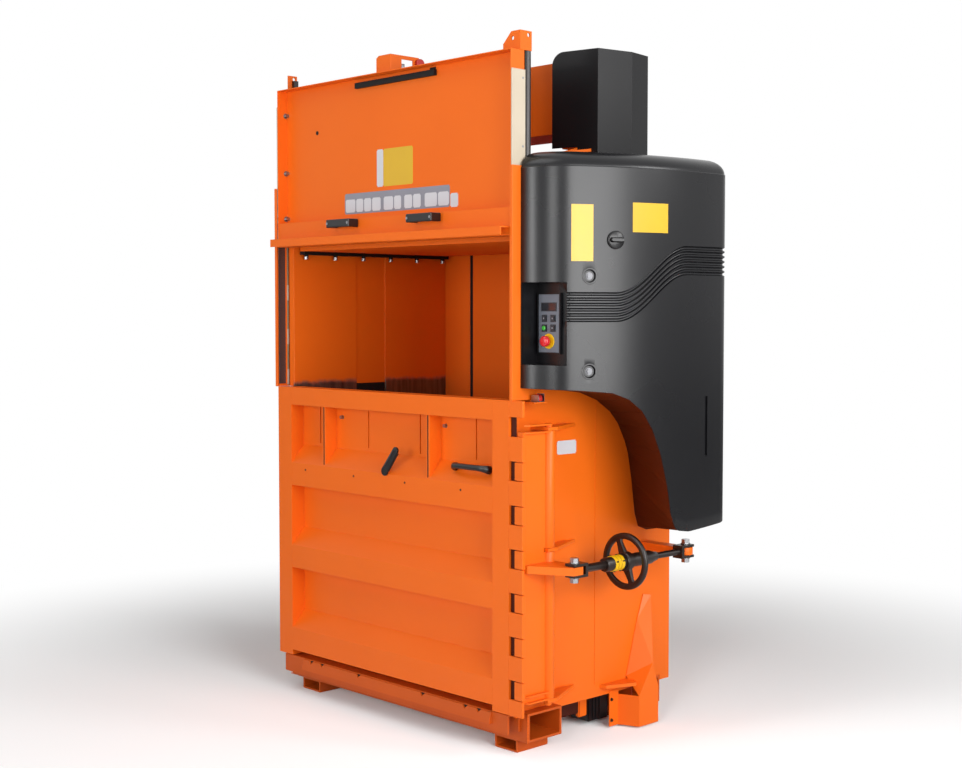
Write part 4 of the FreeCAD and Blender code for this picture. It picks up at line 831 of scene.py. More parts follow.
# Bolts down the left edge, small screws in the sliding strips and beside the grips.
def gateScrews():
    look = gateLook
    x, y, heights = look["bolts"]
    bolts("gateBolts", "gate", [((x, y, z), (1, 0, 0)) for z in heights],
          zincPlate, {"across": 12, "high": 14, "washer": 22})
    x, y, heights = look["strips"]
    bolts("stripScrews", "gate",
          [((side * x, y, z), (side, 0, 0)) for side in sides for z in heights],
          zincPlate, {"across": 6.5, "high": 0.35, "washer": 7.8, "thin": 0.2,
                               "sides": 20})
    reach, y, z = look["gripScrew"]
    bolts("gripScrews", "gate",
          [((centre + side * reach, y, z), (0, -1, 0)) for centre in look["grips"]
           for side in sides], zincPlate,
          {"across": 8, "high": 0.8, "washer": 10, "thin": 0.5, "sides": 20})


# The seal's two small rollers, and dark solids in a round hole and a notch near one of them:
# painted shade.
def gateTrims():
    look = gateLook
    back, front, z = look["roller"]
    shell = bmesh.new()
    for x in look["rollers"]:
        roundMesh(shell, (x, back, z), (x, front, z), [(0, 5), (0.7, 5), (1, 3.5)], 16)
    addPiece("sealRollers", shell, "gate", filmWhite)
    near, far = look["skin"]
    x, z, radius = look["hole"]
    left, right, low, high = look["notch"]
    shell = bmesh.new()
    roundMesh(shell, (x, far, z), (x, near, z), [(0, radius), (1, radius)], 24)
    blockMesh(shell, (left, near, low), (right, far, high))
    addPiece("gateHoles", shell, "gate", rubberAndShadeBlack)


gateScrews()
gateTrims()


# Round the four corners of a thin block whose thickness runs along an axis.
def roundCorners(shell, axis):
    across = [e for e in shell.edges
              if abs(getattr(e.verts[0].co, axis) - getattr(e.verts[1].co, axis)) > 1e-5]
    bmesh.ops.bevel(shell, geom=across, offset=0.004, segments=4, affect="EDGES")


# A thin plate of film with rounded corners: a rectangle (u0, v0, u1, v1) on y = lift.
def plainLabel(name, body, finish, corners, lift):
    u0, v0, u1, v1 = corners
    shell = bmesh.new()
    blockMesh(shell, (u0, lift - 0.6, v0), (u1, lift + 0.2, v1))
    roundCorners(shell, "y")
    addPiece(name, shell, body, finish)


plateLook = {"skin": 43, "paneSkin": 42.4, "paneLow": 1860, "paneHigh": 1908,
             "panes": ((-272, -216), (-210, -170), (-164, -124), (-118, -70), (-52, 0), (6, 44),
                       (62, 104), (110, 150), (172, 236), (242, 298)),
             "yellow": (-54, 1945, 108, 2080), "edge": (-91, 1945, -55, 2080),
             "long": (-278, 1854, 302, 1930), "small": (305, 1852, 344, 1900)}


# Blank plates on the gate: a yellow one with a pale edge, a long one under pale panes.
def gatePlates():
    look = plateLook
    skin = look["skin"]
    plainLabel("gatePlateYellow", "gate", filmYellow, look["yellow"], skin)
    plainLabel("gatePlateEdge", "gate", filmWhite, look["edge"], skin)
    plainLabel("gatePlateLong", "gate", filmGrey, look["long"], skin)
    for k, (left, right) in enumerate(look["panes"], 1):
        plainLabel(f"gatePlatePanel_{k}", "gate", filmWhite,
                   (left, look["paneLow"], right, look["paneHigh"]), look["paneSkin"])
    plainLabel("gatePlateSmall", "gate", filmWhite, look["small"], skin)


gatePlates()
gateSeams = {"edge": 640, "shelf": (3, 43, 1834), "lip": (-1, 1742, 1834),
             "top": (553, 643, 40, 2348)}


# Welds at both ends of the gate's shelf, up its front lip and along the top corners.
def gateWelds():
    look = gateSeams
    x = look["edge"]
    near, far, z = look["shelf"]
    runs = [((side * x, near, z), (side * x, far, z), 0, 0) for side in sides]
    y, low, high = look["lip"]
    runs += [((side * x, y, low), (side * x, y, high), 30, 32) for side in sides]
    inner, outer, y, z = look["top"]
    runs += [((side * inner, y, z), (side * outer, y, z), 0, 0) for side in sides]
    stitchWelds("gateWelds", "gate", runs, 2.2)


gateWelds()
print("gate made")

wiperLook = {"x": 583, "first": 92, "pitch": 143.6, "z": 1707, "count": 6}
bolts("wiperNuts", "press",
      [((side * wiperLook["x"], wiperLook["first"] + wiperLook["pitch"] * k, wiperLook["z"]),
        (0, 0, -1)) for side in sides for k in range(wiperLook["count"])],
      zincPlate, {"across": 15, "high": 9, "washer": 20, "sides": 12})

softened("bale_door", "door", orangeCoat, 1.6)
softened("door_teeth", "door", orangeCoat, 1.2)
doorLook = {"left": -564, "right": 557, "panel": 58, "beams": (819, 497, 172), "face": 88,
            "slope": 66, "top": 1132, "ribs": (-364, 228), "ribHalf": 8, "seam": -0.4,
            "crown": (1136, 1196), "bolts": (-317, 264), "boltHigh": 1093,
            "holes": (-475, -181, 109, 401), "holeHigh": 884}


# Long runs round each recess, short ones along the slopes, as the real door has.
def doorWelds():
    look = doorLook
    panel, beams, top = look["panel"], look["beams"], look["top"]
    ends = (look["left"], look["right"])
    runs = []
    for low, high in zip(beams, (top, *beams)):
        ledge = low + look["face"]
        crest = ledge + look["slope"]
        for x in ends:
            runs.append(((x, panel, crest), (x, panel, high), 70, 34))
            runs.append(((x, 0, ledge), (x, panel, crest), 30, 60))
        runs.append(((ends[0], panel, crest), (ends[1], panel, crest), 46, 110))
    ledge = beams[0] + look["face"]
    crest = ledge + look["slope"]
    for x in [rib + side * look["ribHalf"] for rib in look["ribs"] for side in sides]:
        runs.append(((x, panel, crest), (x, panel, top), 34, 30))
        runs.append(((x, 6, ledge), (x, panel, crest), 24, 40))
    stitchWelds("doorWelds", "door", runs, 2.4)
    y = look["seam"]
    seams = []
    for x in ends:
        seams += [((x, y, low + 4), (x, y, low + 84), 0, 0) for low in beams]
        seams.append(((x, y, look["crown"][0]), (x, y, look["crown"][1]), 0, 0))
    stitchWelds("doorSeams", "door", seams, 0.9)


doorWelds()
bolts("doorBolts", "door",
      [((x, doorLook["panel"], doorLook["boltHigh"]), (0, -1, 0)) for x in doorLook["bolts"]],
      zincPlate, {"across": 12, "high": 9, "washer": 16})


# Dark slots, painted shade: a thin black strip along each rib's front and four small black discs
# for holes along the first beam.
def doorSlits():
    look = doorLook
    z = look["holeHigh"]
    shell = bmesh.new()
    for x in look["ribs"]:
        blockMesh(shell, (x - 2.5, 4.4, 911), (x + 2.5, 5.2, 1131))
    for x in look["holes"]:
        roundMesh(shell, (x, 0.3, z), (x, -0.35, z), [(0, 4), (1, 4)], 18)
    addPiece("doorSlots", shell, "door", rubberAndShadeBlack)


doorSlits()
handleLook = {"left": 328, "right": 526, "high": 963, "surface": 34, "front": 8,
              "across": (16, 15, 12, 10.5, 10.5, 10.5, 12, 15, 16), "flat": 0.86,
              "sides": 8}


# A moulded bow: splayed wedge feet on the slope, a flat eight-sided bar between them.
def doorHandle():
    look = handleLook
    left, right, z = look["left"] + 15, look["right"] - 15, look["high"]
    y0, y1 = look["surface"], look["front"]
    path = [(left, y0, z - 6), (left + 2, y0 - 12, z - 3), (left + 14, y1 + 4, z),
            (left + 34, y1, z + 1), ((left + right) / 2, y1, z + 1), (right - 34, y1, z + 1),
            (right - 14, y1 + 4, z), (right - 2, y0 - 12, z - 3), (right, y0, z - 6)]
    shell = bmesh.new()
    rings = []
    for k, spot in enumerate(path):
        here = place(*spot)
        along = (place(*path[min(k + 1, 8)]) - place(*path[max(k - 1, 0)])).normalized()
        up = Vector((0, 0, 1))
        out = up.cross(along).normalized()
        up = along.cross(out)
        ring = []
        for j in range(look["sides"]):
            a = 2 * math.pi * (j + 0.5) / look["sides"]
            wide = look["across"][k] / 1000
            ring.append(shell.verts.new(here + out * math.cos(a) * wide * look["flat"]
                                        + up * math.sin(a) * wide))
        rings.append(ring)
    joinRings(shell, rings)
    raw = meshFrom(shell, "doorHandleRaw", 50)
    mesh = bakeModifiers("doorHandle", raw, [
        ("BEVEL", {"width": 0.0022, "segments": 2, "limit_method": "ANGLE",
                   "angle_limit": math.radians(25), "use_clamp_overlap": True})])
    smoothAbove(mesh, 40)
    addObject("doorHandle", mesh, "door", handleBlack, ("door_bow",))


doorHandle()
leverLook = {"pivot": (5, 918), "lean": 52, "long": 112, "wide": 13, "near": -10,
             "far": -2, "boss": 17, "side": (-17.5, -12.5), "sideFrom": 12, "sideTo": 100,
             "heel": ((0, 1.15), (-10, 0.7), (-10, -0.7), (0, -1.15)), "crown": (1.4, 0.93),
             "groove": ((0.86, 0.42, 0), (0.85, 0.34, 1.8)), "grooveShift": 3}


# A black lever on a round boss: a broad round-ended bar with a groove, a plate beside it.
def latchLever():
    look = leverLook
    x, z = look["pivot"]
    lean = math.radians(look["lean"])
    near, far, wide = look["near"], look["far"], look["wide"]

    def leaned(u, v, depth):
        return place(x + u * math.cos(lean) - v * math.sin(lean), depth,
                     z + u * math.sin(lean) + v * math.cos(lean))

    shell = bmesh.new()
    roundMesh(shell, (x, far, z), (x, near + 0.6, z),
              [(0, look["boss"]), (0.75, look["boss"]), (1, look["boss"] - 2)], 28)
    outline = []
    for k in range(9):                                 # the far end is round
        a = math.pi * (k / 8 - 0.5)
        outline.append((look["long"] - wide + wide * math.cos(a), wide * math.sin(a)))
    outline += [(u, wide * share) for u, share in look["heel"]]
    edge, drawn = look["crown"]
    rings = [[shell.verts.new(leaned(u * share, v * share, depth)) for u, v in outline]
             for depth, share in ((far, 1.0), (near + edge, 1.0), (near, drawn))]
    for long, broad, deep in look["groove"]:           # a groove sunk in the face
        rings.append([shell.verts.new(leaned(u * long + look["grooveShift"], v * broad,
                                             near + deep)) for u, v in outline])
    joinRings(shell, rings)
    low, high = look["side"]
    corners = []
    for depth in (far, near + 3):
        corners.append([shell.verts.new(leaned(u, v, depth)) for u, v in
                        ((look["sideFrom"], low), (look["sideTo"], low),
                         (look["sideTo"] - 4, high), (look["sideFrom"], high))])
    joinRings(shell, corners)
    addPiece("latchLever", shell, "latch", handleBlack, ("latch_lever",))


latchLever()
print("door made")


softened("lock_plate", "lock", orangeCoat, 1.5)
softened("lock_fingers", "lock", orangeCoat, 1.2)
seamLook = {"arm": (688, 40, 116, (632, 658)), "wall": 621,
            "flank": (117, 330, (1111, 706, 197, 1096, 691, 182)), "anchor": (680, 730, (632, 659)),
            "mouth": (1230, 1700, ((598, 360, 120), (-607, 515, 130))),
            "back": (606, 848, 1240, 1680), "front": (660, 66, 48, 146),
            "foot": (148, 162, (70, 642))}


# Stitches on the lock's arm, down the side, round the mouth and along the foot.
def wallWelds():
    look = seamLook
    x, near, far, heights = look["arm"]
    stitchWelds("lockWelds", "lock", [((x, near, z), (x, far, z), 20, 18) for z in heights], 2.0)
    wall = look["wall"]
    near, far, heights = look["flank"]
    runs = [((wall, near, z), (wall, far, z), 40, 50) for z in heights]
    near, far, heights = look["anchor"]
    runs += [((wall, near, z), (wall, far, z), 0, 0) for z in heights]
    stitchWelds("sideWelds", "frame", runs, 2.4)
    low, high, corners = look["mouth"]
    runs = [((x, y, low), (x, y, high), 30, gap) for x, y, gap in corners]
    x, y, low, high = look["back"]
    runs += [((side * x, y, low), (side * x, y, high), 26, 90) for side in sides]
    stitchWelds("mouthWelds", "frame", runs, 2.4)
    x, y, low, high = look["front"]
    runs = [((side * x, y, low), (side * x, y, high), 0, 0) for side in sides]
    z, long, starts = look["foot"]
    runs += [((side * wall, y, z), (side * wall, y + long, z), 50, 40)
             for y in starts for side in (1, -1)]
    stitchWelds("baseWelds", "frame", runs, 2.6)


wallWelds()
lockLook = {"pairs": (1094, 1118, 196, 219), "from": 688, "to": 703, "front": 20,
            "back": 146, "plate": 5, "seam": (620.6, 442, 172, 1190),
            "guardBolts": (105, 30)}


# Thin stiffening plates lie in pairs across the lock plate, near its top and bottom.
def lockRibs():
    look = lockLook
    shell = bmesh.new()
    for z in look["pairs"]:
        made = blockMesh(shell, (look["from"], look["front"], z - look["plate"] / 2),
                         (look["to"], look["back"], z + look["plate"] / 2))
        for v in made:                                 # both ends taper to the plate
            if v.co.x > place(look["from"] + 6, 0, 0).x:
                v.co.y += 0.010 if v.co.y < place(0, look["front"] + 5, 0).y else -0.010
    addPiece("lockRibs", shell, "lock", orangeCoat)


lockRibs()
linkLook = {"x": 815, "z": 645, "near": 125, "far": 705, "wheel": 380}
wheelLook = {"out": 97.5, "rim": 22, "deep": 15, "hub": 33, "hubDeep": 26, "lean": 112,
             "rows": ((26, 17, 8), (50, 13, 6.5), (68, 11, 6), (80, 15, 6.5)),
             "section": ((-1, -0.6), (-0.8, -1), (0.8, -1), (1, -0.6), (1, 0.6), (0.8, 1),
                         (-0.8, 1), (-1, 0.6))}
sleeveLook = {"front": (270, 365), "rear": (365, 540),
              "frontRounds": [(0, 22), (0.04, 24), (0.42, 24), (0.46, 25), (0.96, 25), (1, 24)],
              "rearRounds": [(0, 28), (0.02, 30), (0.16, 30), (0.18, 21.5), (0.3, 21.5),
                             (0.33, 23.5), (0.8, 23.5), (0.9, 18), (0.98, 16), (1, 14)],
              "bands": ((304, 318), (320, 334), (336, 350)),
              "bandRounds": [(0, 25.6), (0.08, 26.6), (0.92, 26.6), (1, 25.6)],
              "slotAt": (27, (311, 343)), "slot": (2.2, 4), "slotFirst": 20}


# Two rods in their nuts, and round them the sleeves that the wheel turns.
def turnbuckle():
    x, z = linkLook["x"], linkLook["z"]
    softened("front_rod", "screw", blackIron, 1.5)
    softened("rear_rod", "link", blackIron, 1.5)
    for name, body, y in (("nearNuts", "screw", linkLook["near"]),
                          ("farNuts", "link", linkLook["far"])):
        bolts(name, body, [((x, y, z - 24), (0, 0, -1)), ((x, y, z + 24), (0, 0, 1))],
              zincPlate, {"across": 26, "high": 14, "washer": 34, "thin": 3})
    look = sleeveLook
    near, far = look["front"]
    shell = bmesh.new()                            # the short sleeve before the wheel
    roundMesh(shell, (x, near, z), (x, far, z), look["frontRounds"], 36)
    addPiece("frontSleeve", shell, "wheel", blackIron, ("sleeve_front",))
    shell = bmesh.new()                            # its yellow band, three ribs wide
    for low, high in look["bands"]:
        roundMesh(shell, (x, low, z), (x, high, z), look["bandRounds"], 40)
    addPiece("yellowBand", shell, "wheel", markYellow)
    radius, places = look["slotAt"]
    half, long = look["slot"]
    shell = bmesh.new()                            # small dark blocks round the band: painted shade in its slots
    for angle in range(look["slotFirst"], look["slotFirst"] + 360, 90):
        a = math.radians(angle)
        across, up = x + radius * math.cos(a), z + radius * math.sin(a)
        for y in places:
            blockMesh(shell, (across - half, y - long, up - half),
                      (across + half, y + long, up + half))
    addPiece("bandSlots", shell, "wheel", handleBlack)
    near, far = look["rear"]
    shell = bmesh.new()                            # the long black sleeve behind the wheel
    roundMesh(shell, (x, near, z), (x, far, z), look["rearRounds"], 36)
    addPiece("rearSleeve", shell, "wheel", blackIron, ("sleeve_rear",))
    addHandwheel(x, z)


# A cast wheel: broad flat rim with rounded edges, two broad spokes, a round hub.
def addHandwheel(x, z):
    look, y = wheelLook, linkLook["wheel"]
    profile = []
    for k in range(16):                            # a soft-cornered rim section
        a = 2 * math.pi * k / 16
        across = math.copysign(abs(math.cos(a)) ** 0.55, math.cos(a)) * look["rim"] / 2
        along = math.copysign(abs(math.sin(a)) ** 0.55, math.sin(a)) * look["deep"] / 2
        profile.append((look["out"] - look["rim"] / 2 + across, along))
    shell = bmesh.new()
    rings = []
    for k in range(72):
        a = 2 * math.pi * k / 72
        rings.append([shell.verts.new(place(x + r * math.cos(a), y + d,
                                            z + r * math.sin(a))) for r, d in profile])
    joinRings(shell, rings + rings[:1], capped=False)
    roundMesh(shell, (x, y - look["hubDeep"] / 2, z), (x, y + look["hubDeep"] / 2, z),
              [(0, look["hub"] - 3), (0.08, look["hub"]), (0.92, look["hub"]),
               (1, look["hub"] - 3)], 40)
    lean = math.radians(look["lean"])
    for side in sides:                           # spokes, broad at the hub
        ax, az = math.cos(lean) * side, math.sin(lean) * side
        rows = []
        for r, wide, deep in look["rows"]:
            rows.append([shell.verts.new(place(x + ax * r - az * wide * u, y + deep * v,
                                               z + az * r + ax * wide * u))
                         for u, v in look["section"]])
        joinRings(shell, rows)
    addPiece("castHandwheel", shell, "wheel", blackIron, ("handwheel",), 40)


turnbuckle()


switchLook = {"x": 684, "y": 86, "low": 1194, "body": (1196, 1222), "round": 15,
              "fork": (668, 700, 72, 101), "holes": (640, (76, 96)),
              "plate": ((619.8, 246, 1003), (621.5, 342, 1050))}


# The safety switch: a red half disc held in a bright fork, on the folded tab.
def sideFittings():
    look = switchLook
    x, y, (low, high) = look["x"], look["y"], look["body"]
    shell = bmesh.new()
    roundMesh(shell, (x, y - 9, low + 9), (x, y + 9, low + 9),
              [(0, look["round"] - 1.5), (0.12, look["round"]), (0.88, look["round"]),
               (1, look["round"] - 1.5)], 28)
    bmesh.ops.bisect_plane(shell, geom=shell.verts[:] + shell.edges[:] + shell.faces[:],
                           plane_co=place(x, y, low - 1.2), plane_no=(0, 0, -1),
                           clear_outer=True)
    bmesh.ops.holes_fill(shell, edges=[e for e in shell.edges if e.is_boundary])
    addPiece("switchHead", shell, "frame", capRed, ("safety_switch",))
    left, right, front, back = look["fork"]
    shell = bmesh.new()
    for one, two in (((left, back - 2, low), (right, back, high)),
                     ((left, front, low), (right, front + 2, high - 5)),
                     ((left, front, low - 1.2), (right, back, low + 0.6))):
        blockMesh(shell, one, two)
    roundMesh(shell, (x, back, high - 9), (x, back + 5, high - 9), [(0, 8), (1, 7)], 20)
    addPiece("switchFork", shell, "frame", zincPlate)
    # black discs in the tab's holes, painted shade
    shell = bmesh.new()
    x, places = look["holes"]
    for y in places:
        roundMesh(shell, (x, y, look["low"] - 0.2), (x, y, look["low"] + 0.35),
                  [(0, 4.2), (1, 4.2)], 18)
    addPiece("tabHoles", shell, "frame", rubberAndShadeBlack)


sideFittings()


# The rating plate is blank, with rounded corners.
def sidePlate():
    low, high = switchLook["plate"]
    shell = bmesh.new()
    blockMesh(shell, low, high)
    roundCorners(shell, "x")
    addPiece("sidePlate", shell, "frame", filmWhite, ("rating_plate",))


sidePlate()


# A faint filled seam runs up the side wall.
def sideSeams():
    x, y, low, high = lockLook["seam"]
    shell = bmesh.new()
    blockMesh(shell, (x, y - 1.2, low), (x + 1.1, y + 1.2, high))
    addPiece("wallSeam", shell, "frame", orangeCoat)


sideSeams()
bolts("guardBolts", "frame", [((624, 530, z), (1, 0, 0)) for z in lockLook["guardBolts"]],
      handleBlack, {"across": 9, "high": 4, "washer": 13, "thin": 1})
print("lock, turnbuckle and wheel made")

coverLook = {"left": 657, "front": 32, "round": 190, "turn": 62, "sweep": 1180,
             "side": 20, "corner": 50, "inner": 622, "notch": 104, "foot": 1238,
             "waist": 1450, "crown": 1568, "top": 1962, "roof": 56, "roofEdge": (3, 1.5),
             "roofInset": 93, "roofCorner": 8, "rearRoof": 44, "wall": 7, "lip": 2.0,
             "recess": (662, 802, 1317, 1588, 105), "band": (1460, 17, 8.5, 7),
             "bandCount": 6, "bandEnd": 752, "climb": (251, 280, 157),
             "screws": (1608, 1297), "screwBack": 165, "slot": (628, 999, 1203)}
# lower edge of the moulding: distance back, height
coverEdge = ((32, 1240), (135, 1234), (241, 1224), (299, 1201), (348, 1161), (387, 1099),
             (421, 1014), (450, 901), (464, 815), (483, 763), (498, 751), (547, 744),
             (760, 763))


def noseAndSweep():
    look = coverLook
    nose = (look["left"], look["front"] + look["round"])
    turn = math.radians(look["turn"] - 90)
    drift = look["sweep"] - look["round"]
    sweep = (nose[0] - drift * math.cos(turn), nose[1] - drift * math.sin(turn))
    return nose, turn, sweep


# Points of the outline seen from above, always the same number.
def coverOutline(inset, rearInset, corner, notch):
    look = coverLook
    nose, turn, sweep = noseAndSweep()
    spots = [(look["inner"], notch), (look["left"] - 1.2, notch), (look["left"], notch - 1.2)]
    tip = nose[1] - (look["round"] - inset)
    spots += [(look["left"], notch + (tip - notch) * t) for t in (0.4, 0.75, 0.93)]
    recessLeft = math.asin((look["recess"][0] - nose[0]) / look["round"])
    recessRight = math.asin((look["recess"][1] - nose[0]) / look["round"])
    stop = math.radians(look["turn"])
    angles = [0.0, recessLeft * 0.5, recessLeft]
    angles += [recessLeft + (recessRight - recessLeft) * k / 16 for k in range(1, 17)]
    angles += [recessRight + (stop - recessRight) * k / 5 for k in range(1, 6)]
    r = look["round"] - inset
    spots += [(nose[0] + r * math.sin(a), nose[1] - r * math.cos(a)) for a in angles]
    flat = look["sweep"] - inset
    count = 72
    spots += [(sweep[0] + flat * math.cos(turn * (1 - k / count)),
               sweep[1] + flat * math.sin(turn * (1 - k / count)))
              for k in range(1, count + 1)]
    reach = sweep[0] + look["sweep"]
    rear = sweep[1] + look["side"] + look["corner"] - rearInset
    bend = (reach - inset - corner, rear - corner)
    spots += [(reach - inset, sweep[1] + (bend[1] - sweep[1]) * t) for t in (0.5, 1.0)]
    spots += [(bend[0] + corner * math.cos(a), bend[1] + corner * math.sin(a))
              for a in (math.pi / 2 * k / 8 for k in range(1, 9))]
    spots += [(bend[0] + (look["inner"] - bend[0]) * t, rear) for t in (0.3, 0.65, 1.0)]
    return spots


def edgeHeight(y):
    y = min(max(y, coverEdge[0][0]), coverEdge[-1][0])
    for (y0, z0), (y1, z1) in zip(coverEdge, coverEdge[1:]):
        if y <= y1:
            return z0 + (z1 - z0) * (y - y0) / (y1 - y0)
    return coverEdge[-1][1]


def waveRise(y):
    start, run, rise = coverLook["climb"]
    share = min(max((y - start) / run, 0), 1)
    return rise * (1 - math.cos(math.pi * share)) / 2


# Rows of the moulding from its lower edge up: (zone, share or height, depth pressed in).
def coverRows():
    look = coverLook
    base, pitch, wide, deep = look["band"]
    foot, waist, crown = look["foot"], look["waist"], look["crown"]
    recessLow, recessHigh = look["recess"][2:4]
    rows = [("low", 0, look["lip"])]                   # a rolled lower lip
    rows += [("low", t, 0.0) for t in (0.004, 0.05, 0.12, 0.2, 0.28,
                                       (recessLow - foot) / (waist - foot), 0.5, 0.65, 0.8,
                                       0.92)]
    flank = ((-2.2, 0.0), (-0.4, 0.35), (1.4, 0.9), (3.0, 1.0))
    for k in range(look["bandCount"]):
        start = base + pitch * k
        rows += [("band", start + out, deep * share) for out, share in flank]
        rows += [("band", start + wide - out, deep * share) for out, share in flank[::-1]]
    rows += [("high", t, 0.0) for t in ((recessHigh - crown) / (look["top"] - crown), 0.12,
                                        0.25, 0.4, 0.55, 0.7, 0.85, 0.97, 1.0)]
    rows += [("roof", t, 0.0) for t in (0.015, 0.05, 0.12, 0.22, 0.34, 0.47, 0.6, 0.74, 0.88,
                                        1.0)]
    return rows


# A ring of the roof: a crisp edge, then a low dome.
def roofRing(t):
    look = coverLook
    edge, brow = look["roofEdge"]
    inset = edge + (look["roofInset"] - edge) * (1 - math.cos(t * math.pi / 2))
    share = inset / look["roofInset"]
    z = look["top"] + brow + (look["roof"] - brow) * math.sin(t * math.pi / 2)
    ring = coverOutline(inset, look["rearRoof"] * share,
                        look["corner"] - (look["corner"] - look["roofCorner"]) * share,
                        look["notch"] + inset * 0.95)
    return [(x, y, z) for x, y in ring]


# The moulding as one grid round its outline, with grooves that follow the wave.
def coverShell():
    look = coverLook
    recess, waist = look["recess"], look["waist"]
    rows = coverRows()
    base = coverOutline(0, 0, look["corner"], look["notch"])
    count = len(base)
    normals = []
    for k in range(count):
        a, b = base[max(k - 1, 0)], base[min(k + 1, count - 1)]
        along = Vector((b[0] - a[0], b[1] - a[1])).normalized()
        normals.append(Vector((along.y, -along.x)))
    firstNose = 6
    recessColumns = range(firstNose + 2, firstNose + 18)
    recessEnd = firstNose + 18
    shell = bmesh.new()
    grid = []
    for zone, level, pressed in rows:
        spots = roofRing(level) if zone == "roof" else []
        for k, (x, y) in enumerate([] if zone == "roof" else base):
            rise = waveRise(y)
            depth = pressed
            if zone == "low":
                foot = edgeHeight(y)
                z = foot + (waist + rise - foot) * level
            elif zone == "band":
                z = level + rise
                if k < recessEnd or y >= look["bandEnd"]:
                    depth = 0.0
            else:
                crown = look["crown"] + rise
                z = crown + (look["top"] - crown) * level
            spots.append((x - normals[k].x * depth, y - normals[k].y * depth, z))
        grid.append([shell.verts.new(place(*spot)) for spot in spots])
    recessLow = 6                                      # the row at the recess's lower edge
    recessHigh = next(k for k, row in enumerate(rows) if row[0] == "high")
    for j in range(len(rows) - 1):
        for k in range(count - 1):
            if recessLow <= j < recessHigh and k in recessColumns:
                continue
            shell.faces.new((grid[j][k], grid[j][k + 1], grid[j + 1][k + 1], grid[j + 1][k]))
    # the recess for the controls, drawn back to its floor from the opening's own edge
    left, right = recessColumns[0], recessColumns[-1] + 1
    loop = [grid[recessLow][k] for k in range(left, right + 1)]
    loop += [grid[j][right] for j in range(recessLow + 1, recessHigh + 1)]
    loop += [grid[recessHigh][k] for k in range(right - 1, left - 1, -1)]
    loop += [grid[j][left] for j in range(recessHigh - 1, recessLow, -1)]
    backY = place(0, recess[4], 0).y
    back = []
    for v in loop:
        back.append(shell.verts.new((v.co.x, max(backY, v.co.y + 0.004), v.co.z)))
    for k in range(len(loop)):
        n = (k + 1) % len(loop)
        shell.faces.new((loop[k], back[k], back[n], loop[n]))
    shell.faces.new(back)
    shell.faces.new(grid[-1])                          # the top closes flat
    return plainMesh(shell, "coverRaw")


# A point on the sweep at a distance back, its outward direction, both in machine mm.
def coverSpot(y, lift):
    nose, turn, sweep = noseAndSweep()
    flat = coverLook["sweep"] + lift
    if y < nose[1] + coverLook["round"] * math.sin(turn):
        a = math.acos(min(1, (nose[1] - y) / coverLook["round"]))
        r = coverLook["round"] + lift
        return (nose[0] + r * math.sin(a), nose[1] - r * math.cos(a),
                Vector((math.sin(a), -math.cos(a), 0)))
    a = math.asin(max(-1, min(0, (y - sweep[1]) / coverLook["sweep"])))
    return (sweep[0] + flat * math.cos(a), sweep[1] + flat * math.sin(a),
            Vector((math.cos(a), math.sin(a), 0)))


# Round wells for the two fixing screws and a tall narrow slot.
def coverCutters():
    look = coverLook
    shell = bmesh.new()
    for z in look["screws"]:
        x, y, out = coverSpot(look["screwBack"], 0)
        start = (x - out.x * 5.8, y - out.y * 5.8, z)
        end = (x + out.x * 12, y + out.y * 12, z)
        roundMesh(shell, start, end, [(0, 18), (0.3, 21), (0.36, 24), (1, 27)], 36)
    back, low, high = look["slot"]
    x, y, out = coverSpot(back, 0)
    blockMesh(shell, (x - 5.5, y - 6, low), (x + 12, y + 6, high))
    return newObject("coverCutters", plainMesh(shell, "coverCutters"))


# A flat ring with a rounded crown, for bezels.
def ringMesh(shell, start, end, inner, outer, steps=40):
    a, b = place(*start), place(*end)
    turn = (b - a).to_track_quat("Z", "Y").to_matrix()
    section = [(inner, 0), (outer, 0), (outer, 0.5), (outer - 1.2, 1), (inner + 1.2, 1),
               (inner, 0.5)]
    rings = []
    for k in range(steps):
        angle = 2 * math.pi * k / steps
        flat = Vector((math.cos(angle), math.sin(angle), 0))
        rings.append([shell.verts.new(a + (b - a) * share + turn @ flat * radius / 1000)
                      for radius, share in section])
    joinRings(shell, rings + rings[:1], capped=False)


def sideCover():
    cutter = coverCutters()
    mesh = bakeModifiers("coverShell", coverShell(), [
        ("SOLIDIFY", {"thickness": coverLook["wall"] / 1000, "offset": -1.0,
                      "use_even_offset": False}),
        ("BOOLEAN", {"operation": "DIFFERENCE", "object": cutter, "solver": "EXACT"}),
        ("TRIANGULATE", {})])
    bpy.data.objects.remove(cutter)
    smoothAbove(mesh, 38)
    addObject("coverShell", mesh, "frame", coverBlack, ("side_cover",))
    spots = []
    for z in coverLook["screws"]:
        x, y, out = coverSpot(coverLook["screwBack"], -5.6)
        spots.append(((x, y, z), tuple(out)))
    bolts("coverScrews", "frame", spots, dullZinc,
          {"across": 15, "high": 4.5, "washer": 24, "thin": 1.5})
    shell = bmesh.new()                            # a dark bezel round each well
    for z in coverLook["screws"]:
        x, y, out = coverSpot(coverLook["screwBack"], 0)
        near = (x - out.x * 1.2, y - out.y * 1.2, z)
        far = (x + out.x * 1.6, y + out.y * 1.6, z)
        ringMesh(shell, near, far, 21, 27)
    addPiece("screwBezels", shell, "frame", handleBlack, degrees=40)


roofStripLook = {"left": 645, "right": 675, "front": 98, "back": 394, "low": 1999, "sheet": 3,
                 "lip": 13, "slope": 0.136}


# A folded orange strip climbs along the wall, over the cover's roof, back to the tower.
def roofStrip():
    look = roofStripLook
    shell = bmesh.new()
    blockMesh(shell, (look["left"], look["front"], look["low"]),
              (look["right"], look["back"], look["low"] + look["sheet"]))
    blockMesh(shell, (look["right"] - look["sheet"], look["front"], look["low"]),
              (look["right"], look["back"], look["low"] + look["lip"]))
    nearest = min(vertex.co.y for vertex in shell.verts)
    for vertex in shell.verts:
        vertex.co.z += (vertex.co.y - nearest) * look["slope"]
    addPiece("roofStrip", shell, "frame", orangeCoat)


roofStrip()


